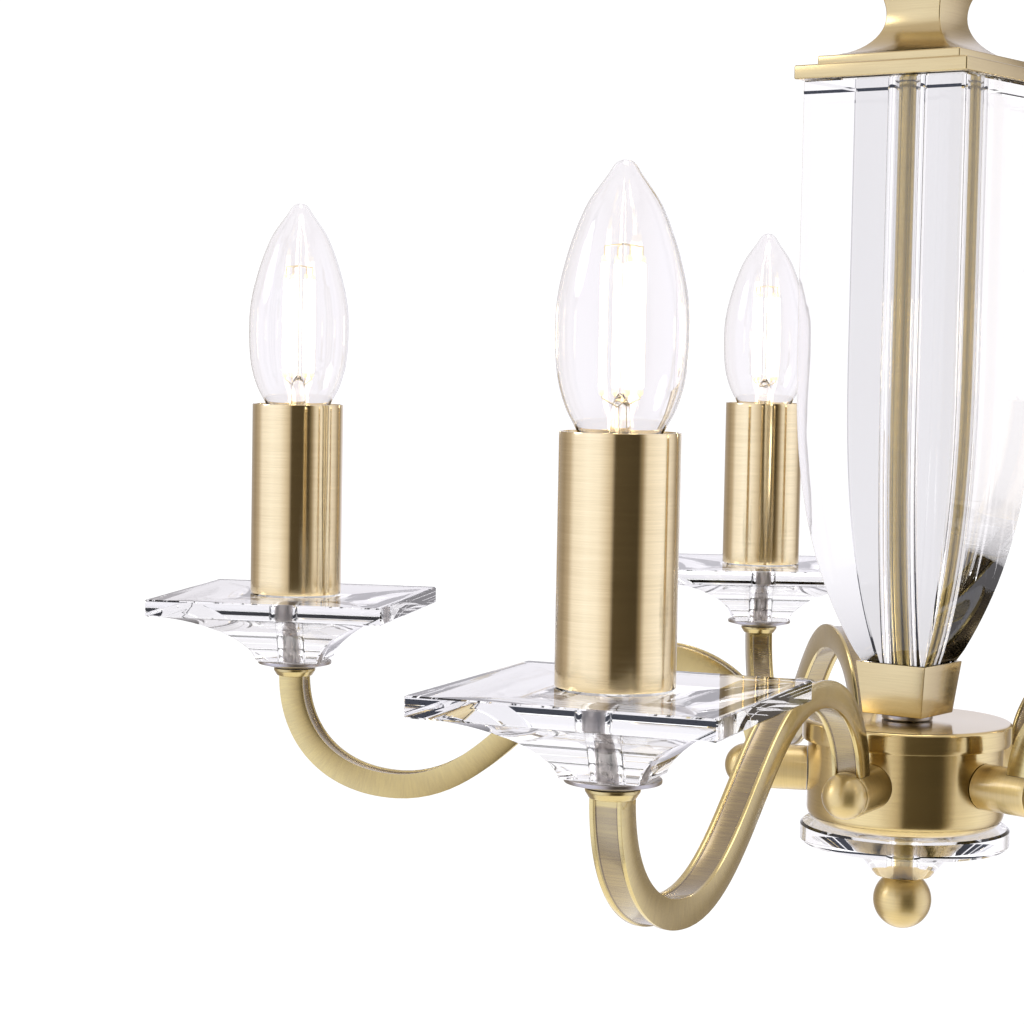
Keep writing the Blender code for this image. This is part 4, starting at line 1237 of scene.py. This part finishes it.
MIRROR_ROOM = [(-180, 0.80), (-166, 0.78), (-156, 0.45), (-118, 0.40), (-100, 0.62), (-86, 1.12), (-55, 1.30),
               (-32, 1.22), (-20, 1.0), (-8, 0.72), (-1, 0.10), (43, 0.07), (51, 0.35), (61, 1.0), (78, 1.15),
               (95, 1.24), (112, 1.1), (126, 0.8), (138, 0.35), (154, 0.4), (166, 0.78), (180, 0.80)]
GLASS_ROOM = [(-180, 0.86), (-158, 0.86), (-146, 0.95), (-116, 1.15), (-108, 0.62), (-100, 1.15), (-60, 1.18),
              (-20, 1.1), (0, 0.85), (16, 0.60), (40, 0.60), (60, 1.15), (100, 1.18), (108, 0.62), (116, 1.15),
              (146, 0.95), (158, 0.86), (180, 0.86)]
print("zones:", len(MIRROR_ROOM), "for metal,", len(GLASS_ROOM), "for glass")

# %% Directions in the world's shader
world = bpy.data.worlds.new("white_room")
bpy.context.scene.world = world
world.use_nodes = True
room = Graph(world.node_tree)
way = room.node("ShaderNodeTexCoord")
toward = (math.cos(CAMERA_SIDE), math.sin(CAMERA_SIDE), 0.0)
rightward = (-math.sin(CAMERA_SIDE), math.cos(CAMERA_SIDE), 0.0)
near_part = room.node("ShaderNodeVectorMath", {"operation": "DOT_PRODUCT"}, {0: way, 1: toward}, out=1)
right_part = room.node("ShaderNodeVectorMath", {"operation": "DOT_PRODUCT"}, {0: way, 1: rightward}, out=1)
up_part = room.node("ShaderNodeVectorMath", {"operation": "DOT_PRODUCT"}, {0: way, 1: (0.0, 0.0, 1.0)}, out=1)
turn = right_part.math("ARCTAN2", right_part, near_part) / math.tau + 0.5
overhead = ((up_part - 0.38) * 3.0).clamp()
underneath = ((0.0 - up_part - 0.5) * 2.5).clamp()
mirror_sides = azimuth_ramp(room, turn, [(degrees, metal_tone(value)) for degrees, value in MIRROR_ROOM])
glass_sides = azimuth_ramp(room, turn, [(degrees, glass_tone(value)) for degrees, value in GLASS_ROOM])
mirror_upper = room.blend(overhead, mirror_sides, rgb(0.80, 0.77, 0.82))
mirror_room = room.blend(underneath, mirror_upper, rgb(0.42, 0.38, 0.37))
glass_upper = room.blend(overhead, glass_sides, rgb(0.92, 0.91, 0.95))
glass_room = room.blend(underneath, glass_upper, rgb(0.80, 0.79, 0.81))
print("room nodes:", len(world.node_tree.nodes))

# %% [markdown]
# The kind of ray decides which room is seen. A ray that has come through glass also counts as a glossy one, so
# glass is asked about first. A ray off a dull surface gets plain white light, and so does the camera itself.
# Two worlds can't be mixed by object, and this choice by ray is the usual way round that.

# %% Which ray sees which room
WORLD_STRENGTH = 1.1
rays = room.node("ShaderNodeLightPath")
is_camera = Wire(room, rays.socket.node.outputs["Is Camera Ray"])
is_glossy = Wire(room, rays.socket.node.outputs["Is Glossy Ray"])
is_through = Wire(room, rays.socket.node.outputs["Is Transmission Ray"])
plain = rgb(1.0, 1.0, 1.0)
off_metal = room.blend(is_glossy, plain, mirror_room)
off_anything = room.blend(is_through, off_metal, glass_room)
seen = room.blend(is_camera, off_anything, plain)
background = world.node_tree.nodes["Background"]
feed(room, background, "Color", seen)
background.inputs["Strength"].default_value = WORLD_STRENGTH
print("world strength:", WORLD_STRENGTH)

# %% [markdown]
# A pale round floor lies well below the hanging light, so its underside is lit as it would be in a room. It is
# kept small, because a wide bright floor would wash out the lower half of every turned piece.

# %% Floor
FLOOR_DROP = 1.5
FLOOR_RADIUS = 1.2
floor_finish, floor_graph, floor_shader = new_finish("pale_floor", Roughness=0.9, Emission_Strength=0.35)
floor_place = floor_graph.node("ShaderNodeTexCoord", out=3)
floor_tone = floor_graph.noise(floor_place, scale=3.0)
floor_colour = floor_graph.blend(floor_tone, rgb(0.93, 0.93, 0.93), rgb(0.95, 0.95, 0.95))
feed(floor_graph, floor_shader, "Base Color", floor_colour)
floor_shader.inputs["Emission Color"].default_value = rgb(1.0, 1.0, 1.0)
floor_shape = bmesh.new()
bmesh.ops.create_circle(floor_shape, cap_ends=True, segments=96, radius=FLOOR_RADIUS,
                        matrix=Matrix.Translation((0, 0, -FLOOR_DROP)))
floor = make_object("pale_floor", floor_shape, floor_finish)
print("floor at", -FLOOR_DROP, "m")

# %% [markdown]
# A wide soft lamp above and one to the left add the gentle shading of a studio without hard shadows. Small or
# hard lamps would show as hot spots on every turned piece.

# %% Soft lamps


def soft_lamp(name, place, aim, size, power):
    light = bpy.data.lights.new(name, "AREA")
    light.shape = "DISK"
    light.size = size
    light.energy = power
    lamp = bpy.data.objects.new(name, light)
    bpy.context.scene.collection.objects.link(lamp)
    lamp.location = place
    lamp.rotation_mode = "QUATERNION"
    lamp.rotation_quaternion = (Vector(aim) - Vector(place)).to_track_quat("-Z", "Y")
    lamp.visible_camera = False
    return lamp


middle = Vector((0.0, 0.0, -0.2))
soft_lamp("overhead_soft", (0.0, 0.0, 2.6), middle, 1.6, 18.0)
soft_lamp("left_soft", (-2.6, -1.5, 1.0), middle, 1.2, 14.0)
print("soft lamps:", len(bpy.data.lights))

# %% [markdown]
# The camera stands a little above the mouths of the candle sleeves and looks slightly down, close to one arm.
# The light runs out of the frame at the top and on the right. A long lens keeps the uprights nearly parallel.
# A Track To constraint could aim it, but three angles also hold its slight roll.

# %% Camera
CAMERA_PLACE = Vector((0.30305, -0.80821, MOUTH + 0.02169))
HEADING = math.radians(119.51)
DIP = math.radians(3.718)
ROLL = math.radians(-1.032)
forward = Vector((math.cos(HEADING) * math.cos(DIP), math.sin(HEADING) * math.cos(DIP), -math.sin(DIP)))
right = Vector((math.sin(HEADING), -math.cos(HEADING), 0.0))
up = right.cross(forward)
rolled_right = right * math.cos(ROLL) - up * math.sin(ROLL)
rolled_up = right * math.sin(ROLL) + up * math.cos(ROLL)
camera_data = bpy.data.cameras.new("studio_camera")
camera_data.lens = 89.63
camera_data.sensor_width = 36.0
camera_data.clip_start = 0.05
camera = bpy.data.objects.new("studio_camera", camera_data)
bpy.context.scene.collection.objects.link(camera)
turned_axes = Matrix((rolled_right, rolled_up, -forward)).transposed().to_4x4()
camera.matrix_world = Matrix.Translation(CAMERA_PLACE) @ turned_axes
bpy.context.scene.camera = camera
bpy.context.scene.view_settings.view_transform = "Standard"
print("camera is", round((CAMERA_PLACE.xy).length, 3), "m from the column's axis")
